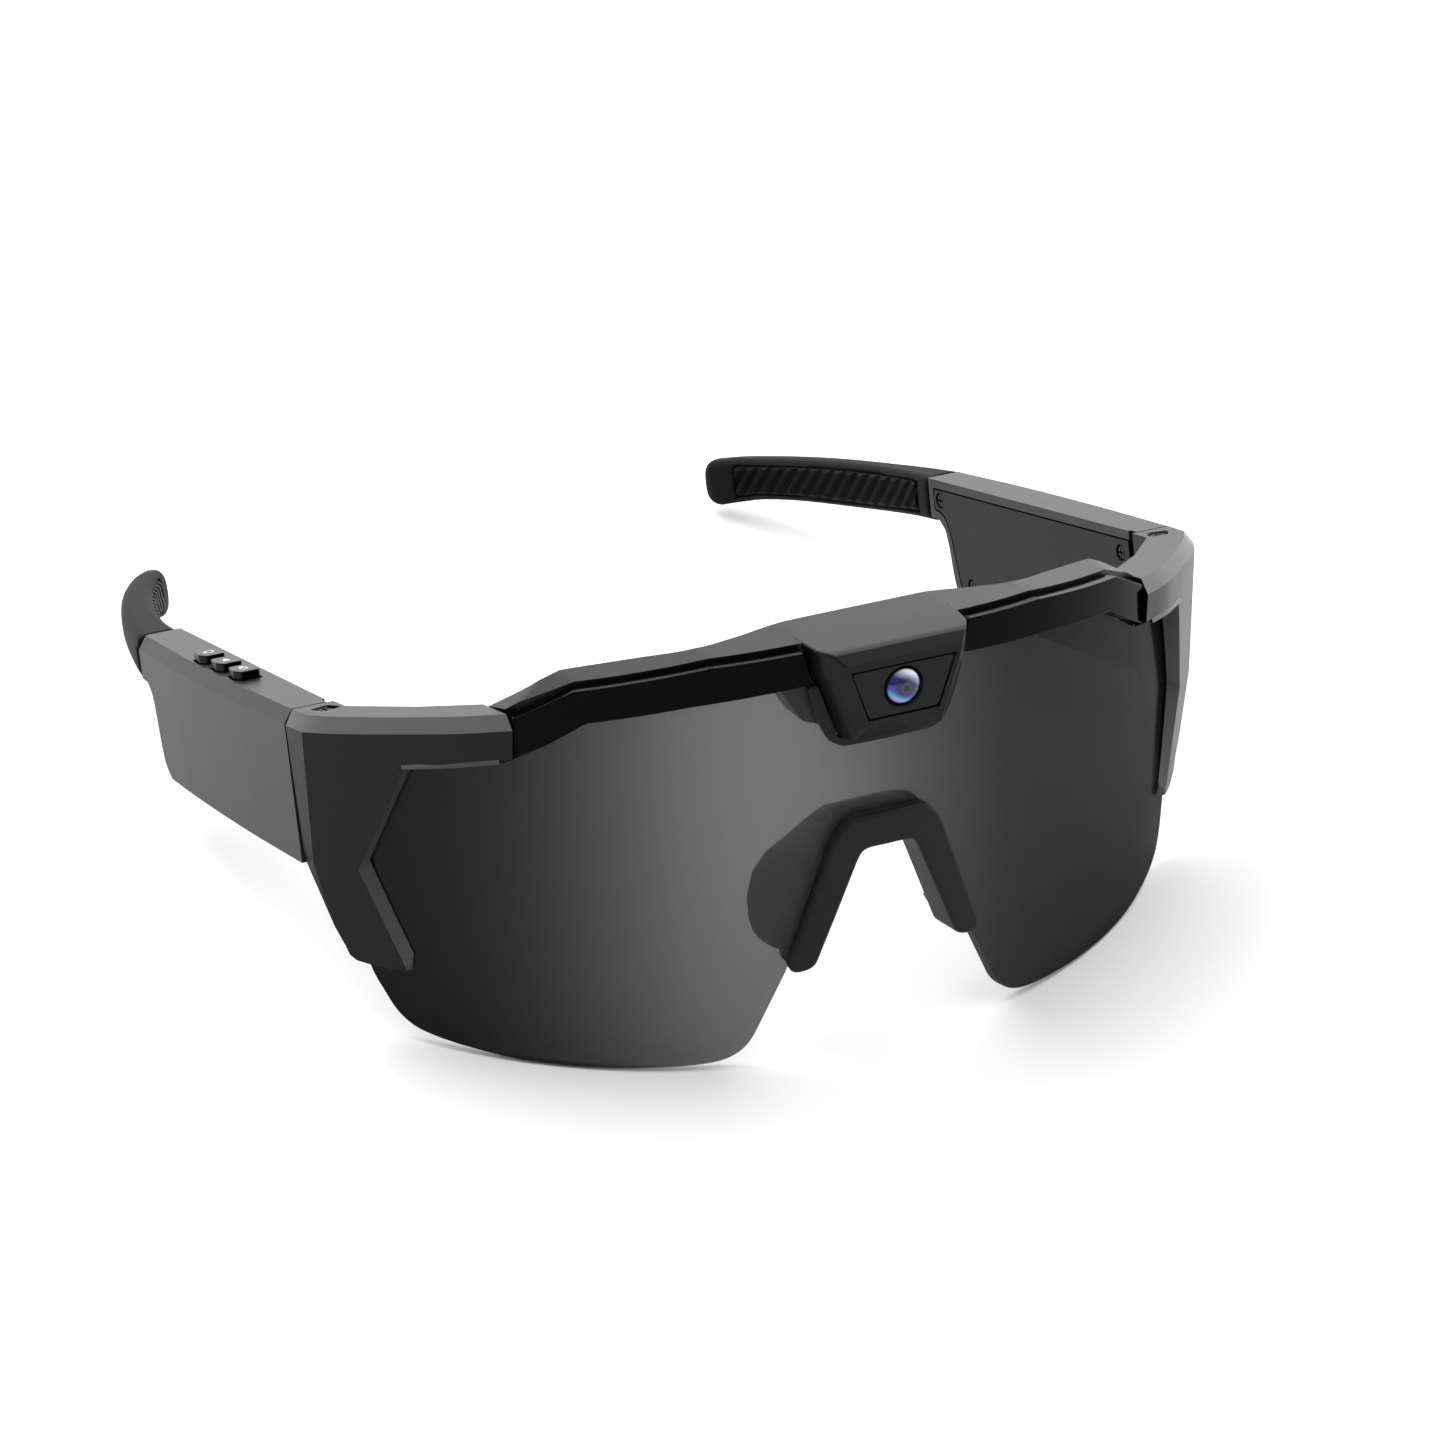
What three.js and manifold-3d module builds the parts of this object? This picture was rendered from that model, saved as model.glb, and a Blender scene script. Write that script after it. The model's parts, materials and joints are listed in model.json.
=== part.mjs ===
// Camera sunglasses: a wrap-round shield lens under a brow frame that carries a camera, and two folding
// temples that hold the electronics. Millimetres. Everything is modelled as worn, with X to the wearer's
// left, Y to the back of the head and Z up; the finished group is then pitched to the way the glasses
// rest on a table, on the two lobes of the lens and the two temple tips.
import * as THREE from 'three';
import { mergeVertices } from 'three/addons/utils/BufferGeometryUtils.js';
import Module from 'manifold-3d';

const wasm = await Module();
wasm.setup();

// ---- driving dimensions ----
const REST_PITCH = THREE.MathUtils.degToRad(18.1); // pitch of the worn frame when it lies on a table
const LENS_TILT = THREE.MathUtils.degToRad(12); // top of the lens leans forward of its foot
const LENS_ORIGIN = [0, -12.6, -2.6]; // worn position of the lens frame's origin
const LENS_RADIUS = 88; // front surface, a base 6 curve
const LENS_THICKNESS = 2.2;
const LENS_HALF_ARC = 82.4;
const GAP = 0.3; // clearance between neighbouring pieces
const SEAM_X = 54.4; // brow frame meets the side shields here
const CAP_Z = 58; // level of the side shields' and temples' top faces
const CAP_SOLE_Z = 54.9; // underside of the side shields' top wall
const SHIELD_REAR_Y = 21.9;
const PIVOT = [71, 22]; // temple hinge axis, worn X and Y
const TEMPLE_FRONT_Y = 22.3;
const TEMPLE_REAR_Y = 92;
const WALL = 1.5; // temple housing wall
const COVER_THICKNESS = 1.3;
const KNUCKLE_RADIUS = 1.7;
const KNUCKLE_FOOT_Z = 38;
const KNUCKLE_HEAD_Z = 53.5;
const MID_KNUCKLE = [43, 48.5];
const PIN_RADIUS = 0.7;
const PIN_BORE_RADIUS = 0.95;
const SCREW_HEAD_RADIUS = 1.15;
const SCREW_SHANK_RADIUS = 0.6;
const BUTTON_ROWS_Y = [49.3, 57.2, 64.9];
const BUTTON_X = 74.4;
const BUTTON_TOP_Z = 59.4;
const CAMERA_V = 60.7; // height of the camera's axis in the lens frame
const CAMERA_FACE_W = -6.7; // depth of the camera window's face in the lens frame

const SAFE = 200; // a size that reaches past the whole object

// ---- materials ----
const finish = (color, roughness, metalness = 0) => () =>
  new THREE.MeshStandardMaterial({ color, roughness, metalness });
const MATT_SHELL = finish(0x4b4c4c, 0.55);
const GLOSS_TRIM = finish(0x060606, 0.12);
const SMOKE_LENS = finish(0x262828, 0.08);
const SOFT_RUBBER = finish(0x2d2d2c, 0.7);
const STEEL = finish(0x8b8d90, 0.3, 1);
const DARK_SCREW = finish(0x1b1b1c, 0.35, 1);
const GLASS = finish(0x1e2a52, 0.03);
const BOARD = finish(0x14452f, 0.5);
const FLEX = finish(0x9a5a1c, 0.5);
const CELL = finish(0xb9bcc0, 0.4, 1);
const CHIP = finish(0x161618, 0.6);

// ---- solids ----
const signedVolume = (positions, index) => {
  const corner = (i) => new THREE.Vector3().fromArray(positions, 3 * i);
  let volume = 0;
  for (let i = 0; i < index.length; i += 3) {
    volume += corner(index[i]).dot(corner(index[i + 1]).cross(corner(index[i + 2]))) / 6;
  }
  return volume;
};

// A manifold solid from a closed geometry, turned so that its faces point out.
const toSolid = (geometry) => {
  const bare = new THREE.BufferGeometry();
  bare.setAttribute('position', geometry.getAttribute('position'));
  if (geometry.index) bare.setIndex(geometry.index);
  const welded = mergeVertices(bare, 1e-4);
  const vertProperties = new Float32Array(welded.getAttribute('position').array);
  const triVerts = new Uint32Array(welded.index.array);
  if (signedVolume(vertProperties, triVerts) < 0) triVerts.reverse();
  return new wasm.Manifold(new wasm.Mesh({ numProp: 3, vertProperties, triVerts }));
};

const toGeometry = (solid) => {
  const mesh = solid.getMesh();
  const geometry = new THREE.BufferGeometry();
  geometry.setAttribute('position', new THREE.BufferAttribute(mesh.vertProperties, 3));
  geometry.setIndex(new THREE.BufferAttribute(mesh.triVerts, 1));
  geometry.computeVertexNormals();
  return geometry;
};

const union = (...solids) => solids.reduce((whole, next) => whole.add(next));
const cut = (whole, ...cutters) => cutters.reduce((left, cutter) => left.subtract(cutter), whole);

const extrude = (outline, depth, steps = 1) =>
  new THREE.ExtrudeGeometry(new THREE.Shape(outline.map(([x, y]) => new THREE.Vector2(x, y))), {
    depth,
    steps,
    bevelEnabled: false,
  });

// An [x, y] outline standing from z0 to z1.
const slabZ = (outline, z0, z1) => toSolid(extrude(outline, z1 - z0).translate(0, 0, z0));

// A [y, z] outline running from x0 to x1.
const slabX = (outline, x0, x1) => {
  const turn = new THREE.Matrix4().makeBasis(
    new THREE.Vector3(0, 1, 0),
    new THREE.Vector3(0, 0, 1),
    new THREE.Vector3(1, 0, 0),
  );
  return toSolid(extrude(outline, x1 - x0).applyMatrix4(turn).translate(x0, 0, 0));
};

// An [x, z] outline running from y0 to y1.
const slabY = (outline, y0, y1) => {
  const turn = new THREE.Matrix4().makeBasis(
    new THREE.Vector3(1, 0, 0),
    new THREE.Vector3(0, 0, 1),
    new THREE.Vector3(0, -1, 0),
  );
  return toSolid(extrude(outline, y1 - y0).applyMatrix4(turn).translate(0, y1, 0));
};

const box = ([x0, y0, z0], [x1, y1, z1]) =>
  toSolid(
    new THREE.BoxGeometry(x1 - x0, y1 - y0, z1 - z0).translate((x0 + x1) / 2, (y0 + y1) / 2, (z0 + z1) / 2),
  );

// A cylinder about a vertical axis, or about X or Y, with its ends at a and b along that axis.
const rod = (axis, [u, v], radius, a, b, sides = 16) => {
  const geometry = new THREE.CylinderGeometry(radius, radius, b - a, sides);
  const middle = (a + b) / 2;
  if (axis === 'z') geometry.rotateX(Math.PI / 2).translate(u, v, middle);
  if (axis === 'x') geometry.rotateZ(Math.PI / 2).translate(middle, u, v);
  if (axis === 'y') geometry.translate(u, middle, v);
  return toSolid(geometry);
};

// A closed skin over a row of outlines that all have the same number of [x, y, z] points. The two end
// outlines are flat and are closed by a fan of triangles cut from their own plane.
const loft = (sections) => {
  const count = sections[0].length;
  const index = [];
  for (let k = 0; k + 1 < sections.length; k += 1) {
    for (let i = 0; i < count; i += 1) {
      const a = k * count + i;
      const b = k * count + ((i + 1) % count);
      index.push(a, b, b + count, a, b + count, a + count);
    }
  }
  const cap = (section, first, flip) => {
    const points = section.map((p) => new THREE.Vector3(...p));
    const normal = points.reduce((sum, p, i) => {
      const q = points[(i + 1) % count];
      return sum.add(new THREE.Vector3().crossVectors(p, q));
    }, new THREE.Vector3());
    const toPlane = new THREE.Quaternion().setFromUnitVectors(normal.normalize(), new THREE.Vector3(0, 0, 1));
    const flat = points.map((p) => {
      const turned = p.clone().applyQuaternion(toPlane);
      return new THREE.Vector2(turned.x, turned.y);
    });
    for (const [a, b, c] of THREE.ShapeUtils.triangulateShape(flat, [])) {
      index.push(...(flip ? [first + c, first + b, first + a] : [first + a, first + b, first + c]));
    }
  };
  cap(sections[0], 0, true);
  cap(sections.at(-1), (sections.length - 1) * count, false);
  const geometry = new THREE.BufferGeometry();
  geometry.setAttribute('position', new THREE.Float32BufferAttribute(sections.flat(2), 3));
  geometry.setIndex(index);
  return toSolid(geometry);
};

const mirrored = (outline) => [...outline, ...[...outline].reverse().map(([x, y]) => [-x, y])];
const interpolate = (table, x) => {
  const k = Math.min(Math.max(table.findIndex(([at]) => at >= x), 1), table.length - 1);
  const [[x0, y0], [x1, y1]] = [table[k - 1], table[k]];
  return y0 + ((x - x0) / (x1 - x0)) * (y1 - y0);
};

// ---- the lens frame ----
// The front is modelled in a frame that leans with the lens: x across, w back, v up the lens. A point is
// also given by its arc length s across the lens and by how far it stands proud of the front surface.
const lensX = (s, proud = 0) => (LENS_RADIUS + proud) * Math.sin(s / LENS_RADIUS);
const lensW = (s, proud = 0) => LENS_RADIUS - (LENS_RADIUS + proud) * Math.cos(s / LENS_RADIUS);
const lensFrame = new THREE.Matrix4()
  .makeRotationX(LENS_TILT)
  .setPosition(new THREE.Vector3(...LENS_ORIGIN));

const inWornFrame = (solid) => toSolid(toGeometry(solid).applyMatrix4(lensFrame));

// The curved layer between two distances proud of the lens's front surface.
const layer = (front, back, halfArc, v0, v1, steps = 36) => {
  const arc = (proud) =>
    Array.from({ length: steps + 1 }, (_, i) => {
      const s = halfArc * ((2 * i) / steps - 1);
      return [lensX(s, proud), lensW(s, proud)];
    });
  return slabZ([...arc(front), ...arc(back).reverse()], v0, v1);
};

// The part of that layer whose outline over the lens is a list of [s, v].
const wrap = (outline, front, back, halfArc = 88) =>
  layer(front, back, halfArc, -20, 90).intersect(
    slabY(outline.map(([s, v]) => [lensX(s), v]), -SAFE, SAFE),
  );

// ---- front: the lens ----
const BROW_TOP = [
  [0, 67.7],
  [12, 67.6],
  [27.5, 66.6],
  [47.6, 63.4],
  [57.2, 58.2],
  [62, 55.6],
];
const browTop = (s) => interpolate(BROW_TOP, Math.abs(s));
const LENS_TOP_DROP = 2.4;
const lensEdge = (grow) => {
  const top = BROW_TOP.slice(1, 4).map(([s, v]) => [s, v - LENS_TOP_DROP + grow]);
  const side = [
    [57.2, 54 + grow],
    [64, 51.2 + grow],
    [72, 49.8 + grow],
    [LENS_HALF_ARC + 6, 48.4 + grow],
    [LENS_HALF_ARC + 6, 11.4 - grow],
    [LENS_HALF_ARC - 0.2, 11.4 - grow],
  ];
  const foot = [
    [79.6, 8.5],
    [78.2, 5.6],
    [76.2, 3.6],
    [73.3, 2.4],
    [66, 0.7],
    [57.5, -0.6],
    [48, -1.3],
    [37, -1.5],
    [28.5, -1.2],
    [24.6, -0.6],
    [22.6, 0.7],
    [21.3, 2.6],
  ].map(([s, v]) => [s, v - grow]);
  const notch = [
    [16.1 - grow, 13.2],
    [8.6 - grow, 31.8],
    [7 - grow, 33.8 - grow],
  ];
  return [...top, ...side, ...foot, ...notch];
};
const lensOutline = (grow = 0) => mirrored(lensEdge(grow));

const CAMERA_PORT = [
  [6.4, 70],
  [6.4, 54],
];
const shieldLens = () =>
  cut(wrap(lensOutline(), 0, -LENS_THICKNESS, LENS_HALF_ARC), slabY(mirrored(CAMERA_PORT), -SAFE, 20));
const lensRoom = (front) =>
  wrap(lensOutline(GAP), front, -LENS_THICKNESS - GAP, LENS_HALF_ARC + GAP);

// ---- front: the brow frame, with the camera housing standing out of its middle ----
const HOUSING_TOP_V = 67.6;
const HOUSING_SECTIONS = [
  // [w, half width at the top, its v, half width at the foot, its v, half width at the shoulder]
  [4, 13.6, HOUSING_TOP_V, 8.2, 52.2, 12.9],
  [-2.6, 12.8, HOUSING_TOP_V, 8.2, 52.2, 12.2],
  [-4.3, 11.9, HOUSING_TOP_V, 7.6, 52.3, 11.5],
  [-5.4, 11.1, 67.4, 7.2, 53.6, 10.8],
  [CAMERA_FACE_W, 9.9, 65.9, 6.7, 55.1, 9.4],
];
const HOUSING_SHOULDER_V = 63.5;
const cameraHousing = (grow = 0) =>
  loft(
    HOUSING_SECTIONS.map(([w, top, topV, foot, footV, shoulder]) =>
      mirrored([
        [top + grow, topV],
        [shoulder + grow, HOUSING_SHOULDER_V],
        [foot + grow, footV - grow],
      ]).map(([x, v]) => [x, w, v]),
    ),
  );
const cameraChamber = () =>
  union(
    slabY(mirrored([[8.9, 64.6], [6.0, 56.2]]), -SAFE, 0),
    slabY(mirrored([[8.9, 64.6], [6.0, 54.6]]), CAMERA_FACE_W + 1.6, 7.6),
  );
const RIBBON_PROUD = [-3.2, -3.5];
const RIBBON_LINE = [
  [8, 58.5],
  [16, 61.2],
  [27.5, 61.4],
  [46, 58.2],
  [57, 53.2],
  [66, 50.2],
  [82, 49],
];
const RIBBON_HALF_HEIGHT = 1.3;
const ribbonOutline = (grow, last = 5) => {
  const line = RIBBON_LINE.slice(0, last);
  const upper = line.map(([s, v]) => [-s, v + RIBBON_HALF_HEIGHT + grow]);
  const lower = line.map(([s, v]) => [-s, v - RIBBON_HALF_HEIGHT - grow]);
  return [...upper, ...lower.reverse()];
};
const ribbonChannel = () => {
  const outline = ribbonOutline(GAP, 7);
  const foot = outline.slice(7).map(([s, v]) => [s, v - 12]);
  return wrap([...outline.slice(0, 7), ...foot], RIBBON_PROUD[0] + GAP, RIBBON_PROUD[1] - GAP);
};
// The housing spans from the window back to the brow through the lens's camera port.
const cameraHousingOnLens = () => {
  const front = cameraHousing();
  const port = slabY(mirrored([[6.1, 66], [6.1, 54.3]]), -SAFE, SAFE);
  const aheadOfLens = cut(front, layer(GAP, -20, 60, 0, 90));
  const through = front.intersect(port);
  const lid = front.intersect(slabY(mirrored([[SAFE, 90], [SAFE, 65.7]]), -SAFE, SAFE));
  return union(aheadOfLens, through, lid);
};
const browFrame = () => {
  const rear = [
    [SEAM_X, 23.4],
    [49.6, 19.4],
    [44.3, 17],
    [35, 12.4],
    [27.2, 8.7],
    [20.5, 8.6],
    [13.5, 9.3],
    [0, 9.4],
  ];
  const frontArc = Array.from({ length: 25 }, (_, i) => {
    const s = 58 * (1 - i / 12);
    return [THREE.MathUtils.clamp(lensX(s), -SEAM_X, SEAM_X), lensW(s)];
  });
  const plan = [...rear.slice(0, -1).reverse(), ...frontArc];
  const back = rear.map(([x, w]) => [-x, w]);
  const elevation = mirrored([
    ...BROW_TOP.slice(0, 4).map(([s, v]) => [lensX(s), v]).slice(1),
    [SEAM_X, 58],
    [SEAM_X, 52.4],
    [43.4, 57.4],
    [16, 60],
    [12, 53.6],
    [8.2, 52.2],
  ]);
  const bar = slabZ([...plan, ...back], 40, 80).intersect(slabY(elevation, -SAFE, SAFE));
  return cut(union(cut(bar, lensRoom(SAFE / 2)), cameraHousingOnLens()), cameraChamber(), ribbonChannel());
};

// ---- front: trim, camera, nose piece ----
const TRIM_DROP = 0.7;
const browTrim = (side) => {
  const outline = [
    [13.9, browTop(13.9) - TRIM_DROP],
    [27.5, browTop(27.5) - TRIM_DROP],
    [47.5, browTop(47.5) - TRIM_DROP],
    [57, browTop(57) - TRIM_DROP],
    [57, 51],
    [51.3, 54],
    [45.6, 57.6],
    [30, 59.9],
    [15, 61.4],
  ];
  return wrap(outline.map(([s, v]) => [side * s, v]), 2.4, GAP);
};

const cameraGasket = () => {
  const outline = mirrored([
    [13.4, 62.7],
    [11.7, 56],
    [9.8, 51.8],
    [7.6, 50.4],
  ]);
  return cut(wrap(outline, 2, GAP), cameraHousing(GAP));
};

const cameraWindow = () =>
  cut(
    slabY(mirrored([[8.6, 64.3], [5.8, 56.5]]), CAMERA_FACE_W + 0.1, CAMERA_FACE_W + 1.4),
    rod('y', [0, CAMERA_V], 3.1, -SAFE, SAFE, 24),
  );
const cameraBarrel = () =>
  cut(
    union(
      rod('y', [0, CAMERA_V], 2.8, CAMERA_FACE_W + 0.3, CAMERA_FACE_W + 6, 24),
      rod('y', [0, CAMERA_V], 3.3, CAMERA_FACE_W + 2, CAMERA_FACE_W + 5, 24),
    ),
    rod('y', [0, CAMERA_V], 2.35, -SAFE, CAMERA_FACE_W + 2.2, 20),
  );
const cameraDome = () => {
  const profile = [
    [0, 0],
    [2.05, 0],
    [2.05, 0.7],
    [1.75, 1.25],
    [1.1, 1.65],
    [0, 1.8],
  ].map(([r, h]) => new THREE.Vector2(r, -h));
  return toSolid(new THREE.LatheGeometry(profile, 20).translate(0, CAMERA_FACE_W + 0.9, CAMERA_V));
};
const sensorBoard = () => box([-5, 0.2, 56.3], [5, 1, 63.6]);
const sensorChip = () => box([-2.8, -0.6, CAMERA_V - 2.8], [2.8, 0, CAMERA_V + 2.8]);

const noseRim = () => {
  const outline = mirrored([
    [6.4, 38.2],
    [9, 35.2],
    [16.4, 14.8],
    [15.4, 13.4],
    [12.1, 13.9],
    [4.8, 31.6],
    [3.8, 32.6],
  ]);
  return cut(wrap(outline, 2.1, -4.4), lensRoom(GAP));
};

// A one-piece soft saddle behind the rim: two wings that splay out and back, joined over the bridge.
const nosePad = () => {
  const wing = (side) =>
    loft([
      [[side * 12.6, 3.4, 13.9], [side * 15.6, 3.9, 14.5], [side * 8.6, 3.6, 35.5], [side * 4.6, 3.2, 33.2]],
      [[side * 13.6, 8, 11.8], [side * 16, 8, 12.6], [side * 9.6, 8, 35.3], [side * 6, 8, 33]],
      [[side * 14.6, 12.4, 16.4], [side * 17, 12.4, 17.2], [side * 12.6, 12.4, 31.5], [side * 10.2, 12.4, 30]],
    ]);
  const bridge = loft([
    [[-8.6, 3.3, 35.5], [-4.4, 3, 33], [4.4, 3, 33], [8.6, 3.3, 35.5], [6, 3, 37.6], [-6, 3, 37.6]],
    [[-9.4, 8, 35], [-5.6, 8, 33.2], [5.6, 8, 33.2], [9.4, 8, 35], [6, 8, 36.6], [-6, 8, 36.6]],
  ]);
  return cut(union(wing(1), wing(-1), bridge), layer(SAFE / 2, -4.7, 60, 0, 60));
};

const ribbonCable = () => wrap(ribbonOutline(0, 6), ...RIBBON_PROUD);

// ---- side shields: hood, wrap-round cheek and hinge block in one moulding per side ----
const SHIELD_LEVELS = [
  // [z, outer edge from the seam to the hinge face, inner edge back to the seam]
  [CAP_Z, [[54.4, -8.4], [60, -4.1], [65, 1], [70, 6.8], [74.6, 12.7], [76.6, 16.2], [77, 22.5]], 0],
  [55.7, [[54.4, -10.1], [60.9, -5.2], [66, 0.1], [71.1, 5.9], [75.9, 12], [78.1, 15.9], [78.4, 22.5]], 0],
  [34, [[54.4, -4.3], [61, 1.4], [66, 6.6], [71, 12.6], [75.3, 17.7], [77.4, 20], [78, 22.5]], 6],
  [16, [[54.4, 0.9], [60.5, 6.1], [65.5, 11.4], [69.5, 16.1], [72.3, 19.9], [73.3, 21.4], [73.5, 22.5]], 10],
];
const SHIELD_INNER = [
  [70.2, 22.5],
  [70.2, 17.2],
  [62.2, 7.3],
  [54.4, 0.4],
];
const SHIELD_WINDOW = [
  [40, 51.4],
  [57.7, 50.8],
  [66, 48.8],
  [70.4, 30.2],
  [66, 13.4],
  [65, 5],
  [40, 5],
];
const SHIELD_FOOT = [
  [SHIELD_REAR_Y, 100],
  [60, 100],
  [60, -20],
  [-20, -20],
  [-20, 16.2],
  [13.4, 16.2],
  [16.6, 16.6],
  [19.6, 17.6],
  [20.4, 18.5],
  [SHIELD_REAR_Y, 35],
];
const onSide = (side, solid) => {
  if (side > 0) return solid;
  return toSolid(toGeometry(solid).scale(-1, 1, 1));
};
const shieldBlank = () => {
  const levels = SHIELD_LEVELS.map(([z, outer, back]) =>
    [...outer, ...SHIELD_INNER.map(([x, y]) => [x, Math.max(y + back, outer.at(0)[1] + 2)])].map(
      ([x, y]) => [x, y, z],
    ),
  );
  return loft(levels);
};
const hingeRoom = () =>
  union(
    rod('z', PIVOT, KNUCKLE_RADIUS + 0.5, KNUCKLE_FOOT_Z - 0.4, KNUCKLE_HEAD_Z + 0.4, 20),
    box([71.2, 16.5, KNUCKLE_FOOT_Z - 0.4], [72.9, 30.1, KNUCKLE_HEAD_Z + 0.4]),
  );
const mirroredRibbonPath = () => onSide(-1, inWornFrame(ribbonChannel()));
const SHIELD_SCREW_AT = [73, 18.4];
const sideShield = (side) => {
  const behindLens = inWornFrame(layer(GAP, -70, LENS_HALF_ARC + 1, -20, 90)).intersect(
    box([-SAFE, -SAFE, -SAFE], [SAFE, SAFE, CAP_SOLE_Z]),
  );
  const screwSeat = union(
    rod('z', SHIELD_SCREW_AT, SCREW_HEAD_RADIUS + 0.35, 56.9, 60, 16),
    rod('z', SHIELD_SCREW_AT, SCREW_SHANK_RADIUS + 0.2, 53.6, 58, 12),
  );
  const moulding = cut(
    shieldBlank(),
    behindLens,
    inWornFrame(slabY(SHIELD_WINDOW, -SAFE, SAFE)),
    slabX(SHIELD_FOOT, -SAFE, SAFE),
    hingeRoom(),
    screwSeat,
    box([-SAFE, -SAFE, -SAFE], [SEAM_X + 0.2, SAFE, SAFE]),
  );
  return onSide(side, side < 0 ? cut(moulding, mirroredRibbonPath()) : moulding);
};

// ---- hinges ----
const knuckle = (z0, z1) => rod('z', PIVOT, KNUCKLE_RADIUS, z0, z1, 20);
const pinBore = () => rod('z', PIVOT, PIN_BORE_RADIUS, 0, SAFE, 16);
const fixedHingeLeaf = (side) => {
  const [midFoot, midHead] = MID_KNUCKLE;
  const plate = box([71.5, 16.8, KNUCKLE_FOOT_Z], [72.6, 19.9, KNUCKLE_HEAD_Z]);
  const tabs = [
    [KNUCKLE_FOOT_Z, midFoot - 0.4],
    [midHead + 0.4, KNUCKLE_HEAD_Z],
  ].map(([z0, z1]) => union(knuckle(z0, z1), box([71.5, 19, z0], [72.6, 22, z1])));
  return onSide(side, cut(union(plate, ...tabs), pinBore()));
};
const templeHingeLeaf = (side) => {
  const [z0, z1] = MID_KNUCKLE;
  return onSide(side, cut(union(knuckle(z0, z1), box([71.5, 22, z0], [72.6, 29.8, z1])), pinBore()));
};
const hingePin = (side) =>
  onSide(side, rod('z', PIVOT, PIN_RADIUS, KNUCKLE_FOOT_Z + 0.2, KNUCKLE_HEAD_Z - 0.2, 12));

// ---- screws ----
// A cross-head screw with its head's top face at the origin, pointing down.
const screw = (shankLength) => {
  const profile = [
    [0, -0.8 - shankLength],
    [SCREW_SHANK_RADIUS, -0.8 - shankLength],
    [SCREW_SHANK_RADIUS, -0.8],
    [SCREW_HEAD_RADIUS, -0.8],
    [SCREW_HEAD_RADIUS, -0.2],
    [SCREW_HEAD_RADIUS * 0.75, 0],
    [0, 0],
  ].map(([r, h]) => new THREE.Vector2(r, h));
  const body = toSolid(new THREE.LatheGeometry(profile, 12).rotateX(Math.PI / 2));
  const slot = (long, wide) => box([-long, -wide, -0.45], [long, wide, 1]);
  return cut(body, slot(0.8, 0.17), slot(0.17, 0.8));
};
const placedScrew = (side, shankLength, [x, y, z], turnY = 0) => {
  const geometry = toGeometry(screw(shankLength)).rotateY(turnY).translate(x, y, z);
  return onSide(side, toSolid(geometry));
};

// ---- temples ----
// The inner face runs straight back and a little inward; the outer face swells gently.
const innerFaceX = (y) => 70.8 - 0.0204 * (y - TEMPLE_FRONT_Y);
const OUTER_FACE = [
  [TEMPLE_FRONT_Y, 78.4],
  [45, 78.6],
  [70, 78.1],
  [TEMPLE_REAR_Y, 76.9],
];
const outerFaceX = (y) => interpolate(OUTER_FACE, y);
const TEMPLE_STATIONS = OUTER_FACE.map(([y, outer]) => [y, innerFaceX(y), outer]);
const HOUSING_SIDE = [
  [TEMPLE_FRONT_Y, 33.9],
  [82.6, 36],
  [84.2, 37],
  [85, 39],
  [87, 47.6],
  [88, 49.8],
  [89.6, 50.8],
  [TEMPLE_REAR_Y, 51],
  [TEMPLE_REAR_Y, 60],
  [TEMPLE_FRONT_Y, 60],
];
const chamberSide = (inset) => [
  [23.8 + inset, 35.4 + inset],
  [81.6 - inset, 37.5 + inset],
  [83.6 - inset, 39.8 + inset],
  [85.6 - inset, 48.6 + inset],
  [87.2 - inset, 51.4 + inset],
  [89 - inset, 52.3 + inset],
  [90.6 - inset, 52.4 + inset],
  [90.6 - inset, 56.5 - inset],
  [23.8 + inset, 56.5 - inset],
];
const housingBlank = (sideInset = 0, innerOut = 0) =>
  loft(
    TEMPLE_STATIONS.map(([y, inner, outer]) =>
      [
        [inner - innerOut, 25],
        [outer - sideInset, 25],
        [outer - sideInset, 55.9],
        [outer - sideInset - 1.5, CAP_Z],
        [inner - innerOut, CAP_Z],
      ].map(([x, z]) => [x, y, z]),
    ),
  );
const SIDE_SCREWS = [
  // [y, z, shank length]
  [27.4, 53.9, 1.6],
  [88.4, 54.4, 1.4],
  [79.6, 40.3, 1.6],
];
const SCREW_SINK = 0.4;
const screwPost = ([y, z]) => {
  const from = innerFaceX(y) + COVER_THICKNESS + GAP;
  return cut(
    rod('x', [y, z], 1.5, from, outerFaceX(y) - 0.7, 12),
    rod('x', [y, z], SCREW_SHANK_RADIUS + 0.15, from - 1, from + 2.6, 12),
  );
};
const CORE_LINE = [
  [86.6, 74.2],
  [92, 73.4],
  [104, 71.1],
  [121, 66.6],
  [132, 62.4],
];
const coreLoft = (halfThickness, z0, z1, from = 0) =>
  loft(
    CORE_LINE.slice(from).map(([y, x]) => [
      [x - halfThickness, y, z0],
      [x + halfThickness, y, z0],
      [x + halfThickness, y, z1],
      [x - halfThickness, y, z1],
    ]),
  );
const tipCore = (side) => onSide(side, coreLoft(0.6, 53.3, 55.7));
const coreRoom = () => coreLoft(0.95, 52.9, 56.1);

const PORTS = {
  // mouths in the front wall: the card slot on the left, the charging socket on the right
  card: [[74.1, 38.6], [75.7, 50.6]],
  charge: [[73.5, 39.4], [77.1, 49.2]],
};
const buttonOutline = (grow) => [
  [-1.9 - grow, -2.5 - grow],
  [1.2 + grow * 0.6, -2.5 - grow],
  [2 + grow, -0.6],
  [1.6 + grow, 2.5 + grow],
  [-1.9 - grow, 2.5 + grow],
];
const buttonPrism = (y, grow, z0, z1) =>
  slabZ(buttonOutline(grow).map(([dx, dy]) => [BUTTON_X + dx, y + dy]), z0, z1);

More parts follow.
